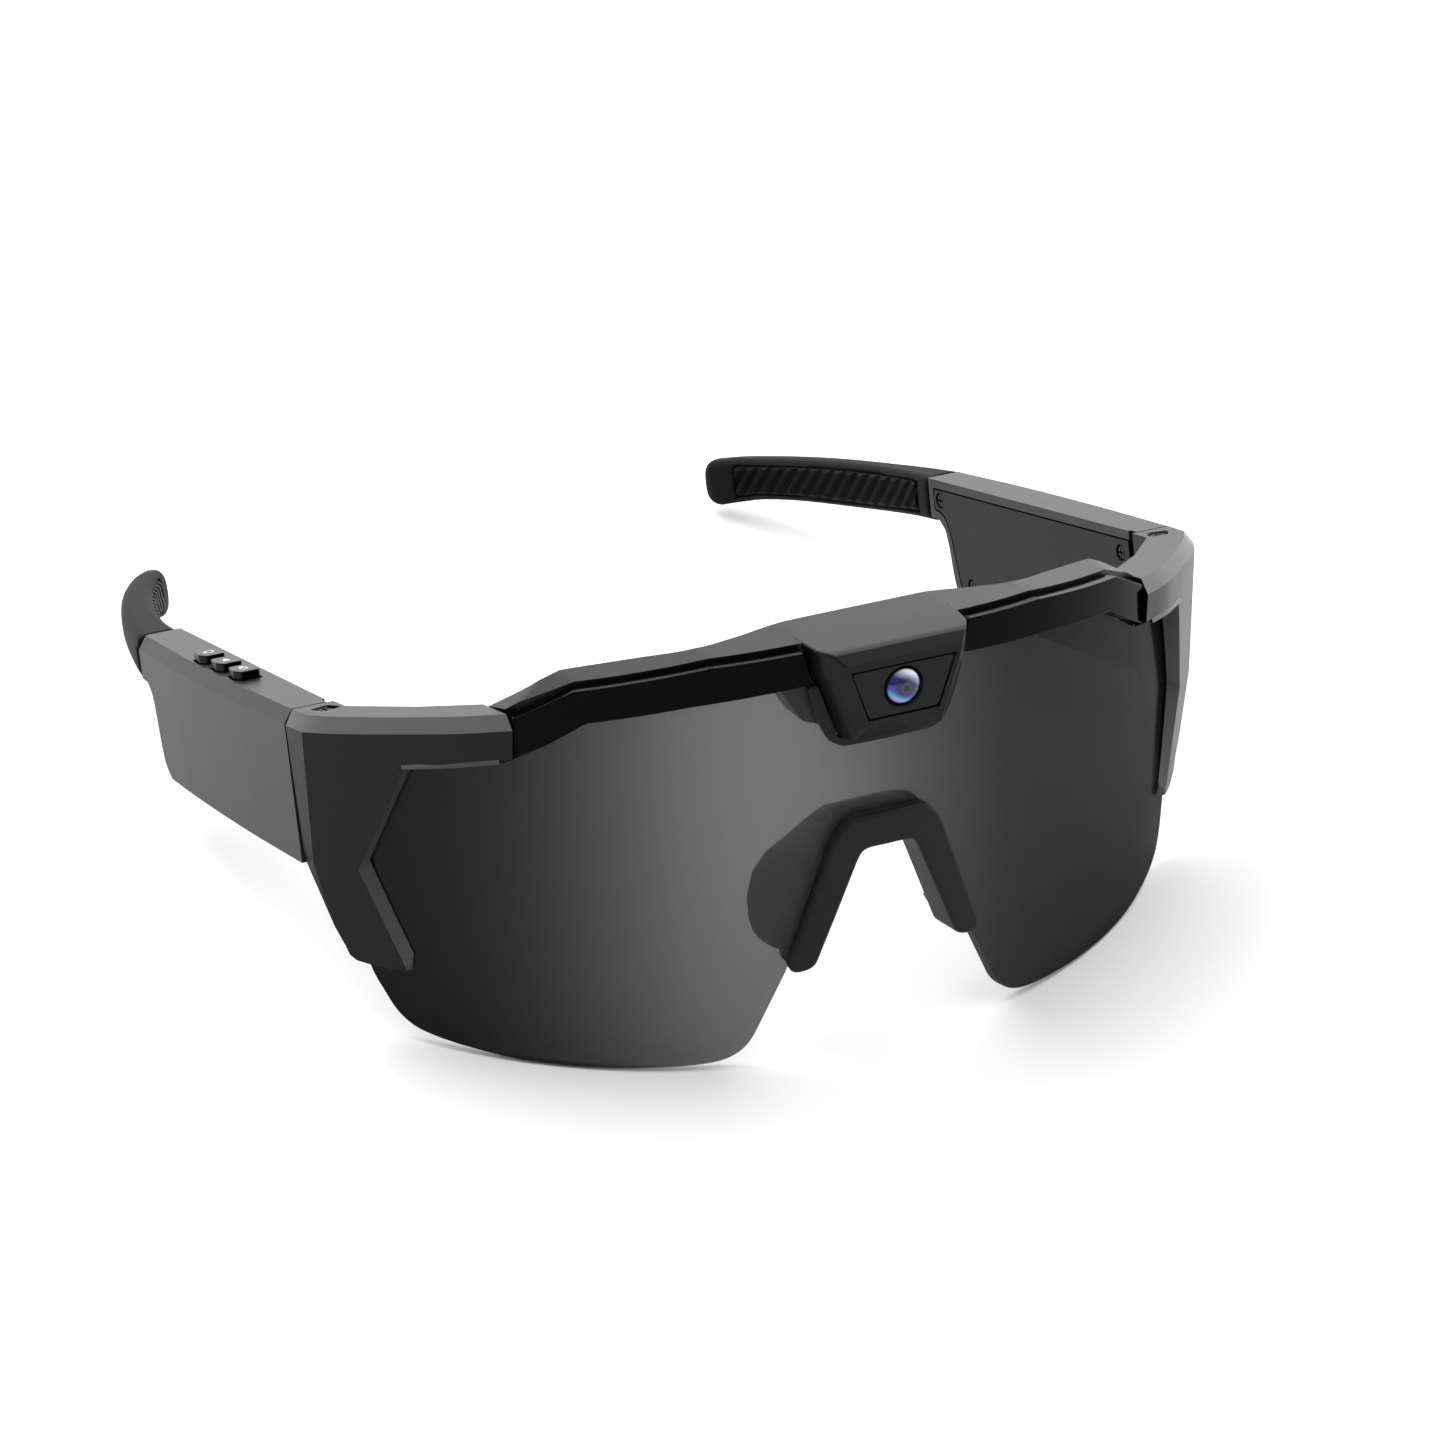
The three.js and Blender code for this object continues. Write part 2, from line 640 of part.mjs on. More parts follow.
const templeHousing = (side) => {
  const chamber = housingBlank(WALL, 10).intersect(slabX(chamberSide(0), 0, SAFE));
  const [[x0, z0], [x1, z1]] = side > 0 ? PORTS.card : PORTS.charge;
  const shell = cut(
    housingBlank().intersect(slabX(HOUSING_SIDE, 0, SAFE)),
    chamber.intersect(box([-SAFE, 0, 0], [SAFE, SAFE, 56.5])),
    hingeRoom(),
    box([60, 20, 20], [71.3, 24.2, 60]),
    box([x0, 20, z0], [x1, 25, z1]),
    coreRoom(),
  );
  const posts = SIDE_SCREWS.filter(([y]) => y < 85).map(screwPost);
  const holes = side < 0 ? BUTTON_ROWS_Y.map((y) => buttonPrism(y, GAP, 56, 60)) : [];
  return onSide(side, cut(union(shell, ...posts), ...holes));
};

const templeCover = (side) => {
  const plate = loft(
    TEMPLE_STATIONS.map(([y, inner]) => [
      [inner, y, 25],
      [inner + COVER_THICKNESS, y, 25],
      [inner + COVER_THICKNESS, y, 60],
      [inner, y, 60],
    ]),
  ).intersect(slabX(chamberSide(GAP), 0, SAFE));
  const seats = SIDE_SCREWS.map(([y, z]) =>
    union(
      rod('x', [y, z], SCREW_HEAD_RADIUS + 0.25, 60, innerFaceX(y) + 0.9, 14),
      rod('x', [y, z], SCREW_SHANK_RADIUS + 0.15, 60, 75, 12),
    ),
  );
  return onSide(side, cut(plate, ...seats, hingeRoom(), box([60, 20, 30], [73.2, 24.6, 60])));
};

const TIP_SECTIONS = [
  // [y, middle x, half thickness, foot z, head z, heading in degrees off straight back]
  [92.3, 73.15, 3.7, 50.9, 58, 0],
  [100, 71.9, 3.35, 50, 58.1, 11],
  [110, 69.7, 3.1, 49.8, 58.1, 14],
  [121, 66.6, 3, 49.8, 58, 18],
  [130, 63.4, 2.9, 49.9, 57.8, 22],
  [138, 59.8, 2.8, 49.7, 57.5, 26],
  [144, 56.6, 2.7, 48.8, 57.2, 30],
  [149, 53.5, 2.5, 47.8, 56.6, 34],
  [152, 51.4, 1.7, 48.4, 55.2, 36],
];
const tipRing = ([y, x, half, foot, head, heading], grow = 0) => {
  const angle = THREE.MathUtils.degToRad(heading);
  const across = [Math.cos(angle), Math.sin(angle)];
  const soft = 0.62 * half;
  return [
    [half, foot + soft],
    [half, head - soft],
    [half - soft, head],
    [-half + soft, head],
    [-half, head - soft],
    [-half, foot + soft],
    [-half + soft, foot],
    [half - soft, foot],
  ].map(([d, z]) => [x + (d + Math.sign(d) * grow) * across[0], y + d * across[1], z]);
};
const PAD_FIRST = 1;
const PAD_LAST = 6;
const padLoft = (inset, outset, trim) =>
  loft(
    TIP_SECTIONS.slice(PAD_FIRST, PAD_LAST).map(([y, x, half, foot, head, heading]) => {
      const angle = THREE.MathUtils.degToRad(heading);
      const at = (d, z) => [x - d * Math.cos(angle), y - d * Math.sin(angle), z];
      return [
        at(half - inset, foot + 2 + trim),
        at(half + outset, foot + 2 + trim),
        at(half + outset, head - 2 - trim),
        at(half - inset, head - 2 - trim),
      ];
    }),
  );
const templeTip = (side) =>
  onSide(side, cut(loft(TIP_SECTIONS.map((section) => tipRing(section))), coreRoom(), padLoft(0.9, 2, 0)));
const tipGrip = (side) => {
  const strip = padLoft(0.6, 0.1, GAP);
  return onSide(side, strip.intersect(box([0, 100.3, 0], [SAFE, 137.6, SAFE])));
};

// ---- electronics ----
const battery = (side) => {
  const cell = side > 0 ? [[72.6, 46, 38.6], [76.2, 77, 49.6]] : [[72.6, 56, 38.6], [76.2, 77, 49.6]];
  return onSide(side, box(...cell));
};
// A shallow tray behind the card mouth, open to the front and to the head side.
const cardSlot = () => {
  const tray = box([74.9, 24.4, 37.6], [76.3, 40, 51.6]);
  const room = box([75.2, 20, 38.9], [75.9, 39, 50.3]);
  const window = box([74.6, 26, 39.9], [75.5, 38, 49.3]);
  return cut(tray, room, window);
};
const memoryCard = () => box([75.3, 25, 39.2], [75.7, 38.6, 50]);
const chargeSocket = () =>
  cut(box([73.8, 22.8, 39.8], [76.7, 30.2, 48.8]), box([74.2, 22, 40.3], [76.3, 29, 48.3]));
const mainBoard = () => box([75.3, 31, 37.4], [76.2, 55, 50.2]);
const processor = () => box([73.7, 37, 39.4], [75, 46.5, 48.6]);
const buttonBoard = () => box([72.4, 45, 51.2], [76.4, 69, 51.9]);
const tactSwitch = (y) => {
  const body = box([BUTTON_X - 1.5, y - 1.6, 52.2], [BUTTON_X + 1.2, y + 1.6, 53.8]);
  const plunger = rod('z', [BUTTON_X - 0.1, y], 0.8, 53.5, 54.4, 12);
  return union(body, plunger);
};
// The flange under each cap keeps it from coming out through the housing's top wall.
const buttonCap = (y) => {
  const withinChamber = box([72.2, 0, 0], [76.6, SAFE, SAFE]);
  const flange = buttonPrism(y, 0.6, 54.9, 55.8).intersect(withinChamber);
  return union(buttonPrism(y, 0, 55, BUTTON_TOP_Z), flange);
};

// ---- assembly ----
const node = (name, solid, material) => {
  const mesh = new THREE.Mesh(toGeometry(solid), material());
  mesh.name = name;
  return mesh;
};

const leaning = new THREE.Group();
leaning.position.set(...LENS_ORIGIN);
leaning.rotation.x = LENS_TILT;
leaning.add(
  node('shield_lens', shieldLens(), SMOKE_LENS),
  node('brow_frame', browFrame(), MATT_SHELL),
  node('brow_trim_left', browTrim(1), GLOSS_TRIM),
  node('brow_trim_right', browTrim(-1), GLOSS_TRIM),
  node('camera_gasket', cameraGasket(), SOFT_RUBBER),
  node('camera_window', cameraWindow(), MATT_SHELL),
  node('camera_barrel', cameraBarrel(), GLOSS_TRIM),
  node('camera_lens', cameraDome(), GLASS),
  node('image_sensor', sensorChip(), CHIP),
  node('sensor_board', sensorBoard(), BOARD),
  node('ribbon_cable', ribbonCable(), FLEX),
  node('nose_rim', noseRim(), SOFT_RUBBER),
  node('nose_pad', nosePad(), SOFT_RUBBER),
);

const sides = [
  ['left', 1],
  ['right', -1],
];
const worn = new THREE.Group();
worn.add(leaning);
for (const [name, side] of sides) {
  const front = new THREE.Group();
  front.add(
    node(`side_shield_${name}`, sideShield(side), MATT_SHELL),
    node(`hinge_leaf_front_${name}`, fixedHingeLeaf(side), STEEL),
    node(`hinge_pin_${name}`, hingePin(side), STEEL),
    node(`shield_screw_${name}`, placedScrew(side, 2, [...SHIELD_SCREW_AT, 57.8]), DARK_SCREW),
  );
  const temple = new THREE.Group();
  temple.add(
    node(`temple_housing_${name}`, templeHousing(side), MATT_SHELL),
    node(`temple_cover_${name}`, templeCover(side), MATT_SHELL),
    node(`temple_tip_${name}`, templeTip(side), SOFT_RUBBER),
    node(`tip_core_${name}`, tipCore(side), STEEL),
    node(`tip_grip_${name}`, tipGrip(side), SOFT_RUBBER),
    node(`hinge_leaf_temple_${name}`, templeHingeLeaf(side), STEEL),
    node(`battery_${name}`, battery(side), CELL),
  );
  SIDE_SCREWS.forEach(([y, z, shank], i) => {
    const at = [innerFaceX(y) + SCREW_SINK - 0.3, y, z];
    temple.add(node(`cover_screw_${i + 1}_${name}`, placedScrew(side, shank, at, -Math.PI / 2), DARK_SCREW));
  });
  worn.add(front, temple);
}

const recorder = new THREE.Group();
recorder.add(
  node('charge_socket', onSide(-1, chargeSocket()), STEEL),
  node('main_board', onSide(-1, mainBoard()), BOARD),
  node('processor', onSide(-1, processor()), CHIP),
  node('button_board', onSide(-1, buttonBoard()), BOARD),
  ...BUTTON_ROWS_Y.map((y, i) => node(`switch_${i + 1}`, onSide(-1, tactSwitch(y)), CHIP)),
  ...BUTTON_ROWS_Y.map((y, i) => node(`button_${i + 1}`, onSide(-1, buttonCap(y)), GLOSS_TRIM)),
);
const storage = new THREE.Group();
storage.add(
  node('card_slot', cardSlot(), STEEL),
  node('memory_card', memoryCard(), CHIP),
);
worn.add(recorder, storage);

const glasses = new THREE.Group();
worn.rotation.x = -REST_PITCH;
worn.updateMatrixWorld(true);
const bounds = new THREE.Box3().setFromObject(worn, true);
const middle = bounds.getCenter(new THREE.Vector3());
worn.position.set(-middle.x, -middle.y, -bounds.min.z);
glasses.add(worn);

export default glasses;
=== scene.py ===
"""Looks of a pair of camera sunglasses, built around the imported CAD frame."""
from __future__ import annotations

import json
import logging
import math
from dataclasses import dataclass, field
from enum import Enum
from typing import Callable, Sequence

import bmesh
import bpy
from mathutils import Matrix, Vector


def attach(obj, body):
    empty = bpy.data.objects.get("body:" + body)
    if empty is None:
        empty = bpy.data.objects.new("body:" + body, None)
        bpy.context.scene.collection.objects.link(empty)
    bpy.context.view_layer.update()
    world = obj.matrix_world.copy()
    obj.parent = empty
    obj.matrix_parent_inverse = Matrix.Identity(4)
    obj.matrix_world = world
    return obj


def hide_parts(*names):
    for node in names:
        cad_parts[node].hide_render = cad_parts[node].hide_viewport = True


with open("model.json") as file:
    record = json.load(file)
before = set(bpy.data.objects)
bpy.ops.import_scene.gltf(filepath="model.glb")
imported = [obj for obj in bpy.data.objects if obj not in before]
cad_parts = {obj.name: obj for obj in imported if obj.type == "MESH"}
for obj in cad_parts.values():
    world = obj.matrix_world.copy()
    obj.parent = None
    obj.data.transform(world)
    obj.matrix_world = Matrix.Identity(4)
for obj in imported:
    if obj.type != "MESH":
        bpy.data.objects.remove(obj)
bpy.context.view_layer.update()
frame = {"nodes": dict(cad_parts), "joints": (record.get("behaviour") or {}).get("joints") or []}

log = logging.getLogger("sunglasses")

Point = Sequence[float]
Outline = list[tuple[float, float]]
Material = bpy.types.Material

MM = 0.001
REACH = 200.0  # further than any piece reaches, in millimetres

# ---- the two modelling frames ----
# Worn frame: X to the wearer's left, Y back, Z up, in millimetres. The lens frame leans forward in it:
# x across, w back, v up the lens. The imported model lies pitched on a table.
REST_PITCH = math.radians(18.1)
LENS_TILT = math.radians(12.0)
HINGE_AXIS = (71.0, 22.0, 45.75)


def worn_to_table() -> Matrix:
    """Finds the worn frame's place on the table from the left hinge, whose two places are known.

    Returns:
        The matrix from the worn frame, in millimetres, to the table, in metres.
    """
    hinge = next(j for j in frame["joints"] if j["name"] == "left_temple_hinge")
    turn = Matrix.Rotation(-REST_PITCH, 4, "X")
    shift = Vector(hinge["pos_m"]) / MM - turn @ Vector(HINGE_AXIS)
    return Matrix.Diagonal((MM, MM, MM, 1.0)) @ Matrix.Translation(shift) @ turn


WORN = worn_to_table()
LEAN = Matrix.Translation((0.0, -12.6, -2.6)) @ Matrix.Rotation(LENS_TILT, 4, "X")
LENS = WORN @ LEAN


class Side(Enum):
    """A side of the wearer's head, with the sign of its X."""

    LEFT = 1
    RIGHT = -1

    @property
    def label(self) -> str:
        """The side's word in the names of pieces and bodies."""
        return self.name.lower()

    @property
    def temple(self) -> str:
        """The body that carries this side's temple."""
        return f"{self.label}_temple"

    def flip(self) -> Matrix:
        """The matrix that turns a left-hand piece into this side's piece."""
        return Matrix.Diagonal((float(self.value), 1.0, 1.0, 1.0))


# ---- outlines and tables ----
def mirrored(half: Outline) -> Outline:
    """Closes half an outline by its mirror image about x = 0."""
    return [*half, *[(-x, y) for x, y in reversed(half)]]


def softened(outline: Outline, radius: float, steps: int = 5) -> Outline:
    """Rounds every corner of a closed outline.

    Args:
        outline: The corners in order.
        radius: How far from each corner the curve starts, at most half of each side.
        steps: How many points follow each curve.

    Returns:
        The outline with a short curve at each corner.
    """
    made: Outline = []
    count = len(outline)
    for i in range(count):
        before, here, after = (Vector(outline[(i + k) % count]) for k in (-1, 0, 1))
        start = here + (before - here) * min(0.5, radius / max((before - here).length, 1e-6))
        end = here + (after - here) * min(0.5, radius / max((after - here).length, 1e-6))
        for k in range(steps + 1):
            t = k / steps
            spot = start * (1 - t) ** 2 + here * (2 * t * (1 - t)) + end * t**2
            if not made or (Vector(made[-1]) - spot).length > 0.02:
                made.append((spot.x, spot.y))
    return made


def eased(t: float) -> tuple[float, float, float, float]:
    """Weighs a smooth span's start, start slope, end and end slope.

    Args:
        t: Share of the way along the span.

    Returns:
        The four weights.
    """
    return (2 * t**3 - 3 * t**2 + 1, t**3 - 2 * t**2 + t, 3 * t**2 - 2 * t**3, t**3 - t**2)


def curve_through(points: Sequence[Point], per_span: int) -> list[Vector]:
    """Runs a smooth curve through points of any dimension, with that many steps in each span.

    Args:
        points: Points of one dimension, in order.
        per_span: How many steps each span gets.

    Returns:
        Points along the curve, the last one included.
    """
    rows = [Vector(p) for p in points]
    made: list[Vector] = []
    for i in range(len(rows) - 1):
        a, b = rows[i], rows[i + 1]
        before = rows[i - 1] if i else a - (b - a)
        after = rows[i + 2] if i + 2 < len(rows) else b + (b - a)
        span = max((b - a).length, 1e-6)
        leave = (b - before) * (span / max((b - before).length, 1e-6))
        arrive = (after - a) * (span / max((after - a).length, 1e-6))
        for k in range(per_span):
            at_a, at_leave, at_b, at_arrive = eased(k / per_span)
            made.append(a * at_a + leave * at_leave + b * at_b + arrive * at_arrive)
    made.append(rows[-1])
    return made


def table_curve(rows: Sequence[Point], per_span: int) -> list[list[float]]:
    """Runs a smooth curve through table rows of any length, column by column.

    Args:
        rows: Rows of one length, with a rising first column.
        per_span: How many steps each span gets.

    Returns:
        The rows in between, and the last one.
    """
    made: list[list[float]] = []
    last = len(rows) - 1
    for i in range(last):
        for k in range(per_span):
            made.append([_column(rows, i, c, k / per_span) for c in range(len(rows[0]))])
    made.append(list(rows[last]))
    return made


def _column(rows: Sequence[Point], i: int, c: int, t: float) -> float:
    """One value of table_curve, between two of its rows.

    Args:
        rows: The table.
        i: The row before.
        c: The column.
        t: Share of the way to the next row.

    Returns:
        The value.
    """
    last = len(rows) - 1
    a, b = rows[i], rows[i + 1]
    before, after = rows[max(i - 1, 0)], rows[min(i + 2, last)]
    span = max(b[0] - a[0], 1e-6)
    leave = (b[c] - before[c]) / max(b[0] - before[0], 1e-6) * span
    arrive = (after[c] - a[c]) / max(after[0] - a[0], 1e-6) * span
    at_a, at_leave, at_b, at_arrive = eased(t)
    return a[c] * at_a + leave * at_leave + b[c] * at_b + arrive * at_arrive


def looked_up(table: Sequence[tuple[float, float]], at: float) -> float:
    """Reads a two-column table at a value, in straight lines between its rows.

    Args:
        table: Rows of argument and value, with rising arguments.
        at: The argument.

    Returns:
        The value there, carried on straight past either end.
    """
    k = next((i for i, row in enumerate(table) if row[0] >= at), len(table) - 1)
    k = max(1, k)
    (x0, y0), (x1, y1) = table[k - 1], table[k]
    return y0 + (at - x0) / (x1 - x0) * (y1 - y0)


# ---- solids ----
class Solid:
    """A closed body in millimetres, which can be cut, joined and then made into a piece."""

    def __init__(self, mesh: bpy.types.Mesh) -> None:
        """Keeps a closed mesh."""
        self.mesh = mesh

    @classmethod
    def from_bmesh(cls, build: bmesh.types.BMesh) -> "Solid":
        """Takes over a bmesh and frees it, with its faces turned outwards.

        Args:
            build: A closed bmesh.

        Returns:
            The solid.
        """
        bmesh.ops.recalc_face_normals(build, faces=build.faces)
        mesh = bpy.data.meshes.new("stock")
        build.to_mesh(mesh)
        build.free()
        return cls(mesh)

    @classmethod
    def skin(cls, rings: Sequence[Sequence[Point]]) -> "Solid":
        """Stretches a skin over rings with the same number of points and closes both ends.

        Args:
            rings: Rings of points, from one end to the other.

        Returns:
            The solid.
        """
        build = bmesh.new()
        loops = [[build.verts.new(p) for p in ring] for ring in rings]
        count = len(loops[0])
        for near, far in zip(loops, loops[1:]):
            for i in range(count):
                j = (i + 1) % count
                build.faces.new((near[i], near[j], far[j], far[i]))
        build.faces.new(list(reversed(loops[0])))
        build.faces.new(loops[-1])
        return cls.from_bmesh(build)

    @classmethod
    def prism(cls, outline: Outline, axis: str, low: float, high: float) -> "Solid":
        """Stands an outline up along an axis.

        Args:
            outline: Corners as (x, y), (x, z) or (y, z), whichever two the axis leaves.
            axis: "x", "y" or "z".
            low: Where it starts along the axis.
            high: Where it ends along the axis.

        Returns:
            The prism.
        """
        seat: dict[str, Callable[[float, float, float], Point]] = {
            "x": lambda a, b, c: (c, a, b),
            "y": lambda a, b, c: (a, c, b),
            "z": lambda a, b, c: (a, b, c),
        }
        return cls.skin([[seat[axis](a, b, c) for a, b in outline] for c in (low, high)])

    @classmethod
    def block(cls, low: Point, high: Point) -> "Solid":
        """A box between two corners."""
        outline = [(low[0], low[1]), (high[0], low[1]), (high[0], high[1]), (low[0], high[1])]
        return cls.prism(outline, "z", low[2], high[2])

    @classmethod
    def turned(
        cls, profile: Sequence[tuple[float, float]], axis: str, centre: Point, sides: int = 40
    ) -> "Solid":
        """Turns a profile of (radius, height) about an axis through a centre.

        Args:
            profile: From one end to the other. Both ends are closed flat.
            axis: "x", "y" or "z", the way height runs.
            centre: Where height 0 is.
            sides: How many sides the round has.

        Returns:
            The turned body.
        """
        cx, cy, cz = centre
        seat: dict[str, Callable[[float, float, float], Point]] = {
            "x": lambda a, b, h: (cx + h, cy + a, cz + b),
            "y": lambda a, b, h: (cx + a, cy + h, cz + b),
            "z": lambda a, b, h: (cx + a, cy + b, cz + h),
        }
        turns = [2 * math.pi * i / sides for i in range(sides)]
        return cls.skin(
            [[seat[axis](r * math.cos(t), r * math.sin(t), h) for t in turns] for r, h in profile]
        )

    @classmethod
    def rod(cls, axis: str, centre: Point, radius: float, low: float, high: float) -> "Solid":
        """A plain round bar between two heights from its centre."""
        return cls.turned([(radius, low), (radius, high)], axis, centre)

    def _combined(self, other: "Solid", operation: str) -> "Solid":
        """Runs one boolean between two closed bodies.

        Args:
            other: The second body.
            operation: DIFFERENCE, UNION or INTERSECT.

        Returns:
            The outcome.
        """
        scene = bpy.context.scene
        work = bpy.data.objects.new("work", self.mesh)
        tool = bpy.data.objects.new("tool", other.mesh)
        scene.collection.objects.link(work)
        scene.collection.objects.link(tool)
        step = work.modifiers.new("combine", "BOOLEAN")
        step.operation = operation
        step.solver = "MANIFOLD"
        step.object = tool
        graph = bpy.context.evaluated_depsgraph_get()
        mesh = bpy.data.meshes.new_from_object(work.evaluated_get(graph))
        bpy.data.objects.remove(work)
        bpy.data.objects.remove(tool)
        return Solid(mesh)

    def cut(self, *others: "Solid") -> "Solid":
        """Takes the others away.

        Args:
            others: The bodies to take away.

        Returns:
            What is left.
        """
        left = self
        for other in others:
            left = left._combined(other, "DIFFERENCE")
        return left

    def joined(self, *others: "Solid") -> "Solid":
        """Adds the others.

        Args:
            others: The bodies to add.

        Returns:
            The whole.
        """
        whole = self
        for other in others:
            whole = whole._combined(other, "UNION")
        return whole

    def kept_in(self, other: "Solid") -> "Solid":
        """Keeps what lies in both."""
        return self._combined(other, "INTERSECT")

    def placed(self, matrix: Matrix) -> "Solid":
        """A copy put through a matrix, turned the right way out if the matrix mirrors.

        Args:
            matrix: The matrix.

        Returns:
            The copy.
        """
        build = bmesh.new()
        build.from_mesh(self.mesh)
        bmesh.ops.transform(build, matrix=matrix, verts=build.verts)
        return Solid.from_bmesh(build)


def beside(*solids: Solid) -> Solid:
    """Puts separate bodies into one mesh without joining them.

    Args:
        solids: The bodies.

    Returns:
        One body with all of them in it.
    """
    build = bmesh.new()
    for solid in solids:
        build.from_mesh(solid.mesh)
    return Solid.from_bmesh(build)


# ---- the lens cylinder ----
LENS_RADIUS = 88.0
LENS_THICKNESS = 2.2
LENS_HALF_ARC = 82.4
GAP = 0.3


def across(s: float, proud: float = 0.0) -> float:
    """How far sideways a point is, from its arc length across the lens."""
    return (LENS_RADIUS + proud) * math.sin(s / LENS_RADIUS)


def back(s: float, proud: float = 0.0) -> float:
    """How far back a point is, from its arc length across the lens."""
    return LENS_RADIUS - (LENS_RADIUS + proud) * math.cos(s / LENS_RADIUS)


def on_lens(s: float, proud: float, v: float) -> tuple[float, float, float]:
    """A point in the lens frame that stands proud of the lens's front."""
    return (across(s, proud), back(s, proud), v)


def shell_layer(front: float, rear: float, half_arc: float, low: float, high: float) -> Solid:
    """The curved layer between two distances proud of the lens, in straight-sided slices.

    Args:
        front: How far the near face stands proud of the lens.
        rear: The same for the far face.
        half_arc: Arc length from the middle to either end.
        low: Its foot.
        high: Its top.

    Returns:
        The layer, in the lens frame.
    """
    slices = 96
    arc = [half_arc * (2 * i / slices - 1) for i in range(slices + 1)]
    outer = [(across(s, front), back(s, front)) for s in arc]
    inner = [(across(s, rear), back(s, rear)) for s in reversed(arc)]
    return Solid.prism([*outer, *inner], "z", low, high)


def wrapped(outline: Outline, front: float, rear: float, rim: float, pitch: float = 1.4) -> Solid:
    """Bends a flat plate round the lens cylinder.

    Args:
        outline: Corners as (arc length across, height up the lens).
        front: How far the plate's face stands proud of the lens.
        rear: The same for its back.
        rim: Radius of the rounded rim round the face and the back.
        pitch: How far apart the bends are.

    Returns:
        The bent plate, in the lens frame.
    """
    build = bmesh.new()
    loops = [[build.verts.new((s, -proud, v)) for s, v in outline] for proud in (front, rear)]
    count = len(outline)
    for i in range(count):
        j = (i + 1) % count
        build.faces.new((loops[0][i], loops[0][j], loops[1][j], loops[1][i]))
    caps = [build.faces.new(loops[0]), build.faces.new(list(reversed(loops[1])))]
    bmesh.ops.recalc_face_normals(build, faces=build.faces)
    if rim:
        edges = [edge for cap in caps for edge in cap.edges]
        bmesh.ops.bevel(
            build,
            geom=edges,
            offset=rim,
            segments=3,
            profile=0.5,
            affect="EDGES",
            clamp_overlap=True,
        )
    low = min(v.co.x for v in build.verts)
    high = max(v.co.x for v in build.verts)
    for k in range(1, int((high - low) / pitch) + 1):
        parts = [*build.verts, *build.edges, *build.faces]
        bmesh.ops.bisect_plane(
            build, geom=parts, plane_co=(low + k * pitch, 0, 0), plane_no=(1, 0, 0), dist=1e-4
        )
    for vert in build.verts:
        vert.co = on_lens(vert.co.x, -vert.co.y, vert.co.z)
    return Solid.from_bmesh(build)


# ---- colour and nodes ----
def linear(code: str) -> tuple[float, float, float, float]:
    """Turns an sRGB hex colour to the linear values that shaders take.

    Args:
        code: The colour, as # and six hex digits.

    Returns:
        Red, green, blue and a full alpha.
    """
    values = [int(code[i : i + 2], 16) / 255 for i in (1, 3, 5)]
    red, green, blue = (v / 12.92 if v <= 0.04045 else ((v + 0.055) / 1.055) ** 2.4 for v in values)
    return (red, green, blue, 1.0)


def add_node(
    material: Material,
    kind: str,
    settings: dict[str, object] | None = None,
    links: dict[str, bpy.types.NodeSocket] | None = None,
) -> bpy.types.Node:
    """Adds a shader node.

    Args:
        material: The material that it goes into.
        kind: The node's type name, without the ShaderNode it starts with.
        settings: Values by name. A name with a leading "in:" is an input socket, by name or number.
        links: What feeds each input socket, by name or number.

    Returns:
        The new node.
    """
    node = material.node_tree.nodes.new(f"ShaderNode{kind}")
    for name, value in (settings or {}).items():
        if name.startswith("in:"):
            key = name[3:]
            node.inputs[int(key) if key.isdigit() else key].default_value = value
        else:
            setattr(node, name, value)
    for name, source in (links or {}).items():
        material.node_tree.links.new(source, node.inputs[int(name) if name.isdigit() else name])
    return node


def set_ramp(node: bpy.types.Node, stops: Sequence[tuple[float, str]]) -> None:
    """Gives a colour ramp its stops, as position and sRGB hex colour.

    Args:
        node: The colour ramp node.
        stops: The stops, in order.
    """
    ramp = node.color_ramp
    while len(ramp.elements) < len(stops):
        ramp.elements.new(0.5)
    for element, (position, code) in zip(ramp.elements, stops):
        element.position = position
        element.color = linear(code)


def blank_material(name: str) -> Material:
    """A new node material with nothing in it.

    Args:
        name: Its name.

    Returns:
        The material.
    """
    material = bpy.data.materials.new(name)
    material.use_nodes = True
    material.node_tree.nodes.clear()
    return material


def started_material(name: str) -> tuple[Material, bpy.types.NodeSocket]:
    """A new material, and the place in metres that its patterns go by."""
    material = blank_material(name)
    return material, add_node(material, "TexCoord").outputs["Object"]


def close_material(material: Material, shader: bpy.types.Node) -> Material:
    """Sends a shader to the surface output."""
    add_node(material, "OutputMaterial", links={"Surface": shader.outputs[0]})
    return material


@dataclass(frozen=True)
class Finish:
    """What a surface is made of and how it was worked, under the name of its material."""

    name: str

    def make(self) -> Material:
        """Builds the material, in each finish's own way."""
        raise NotImplementedError


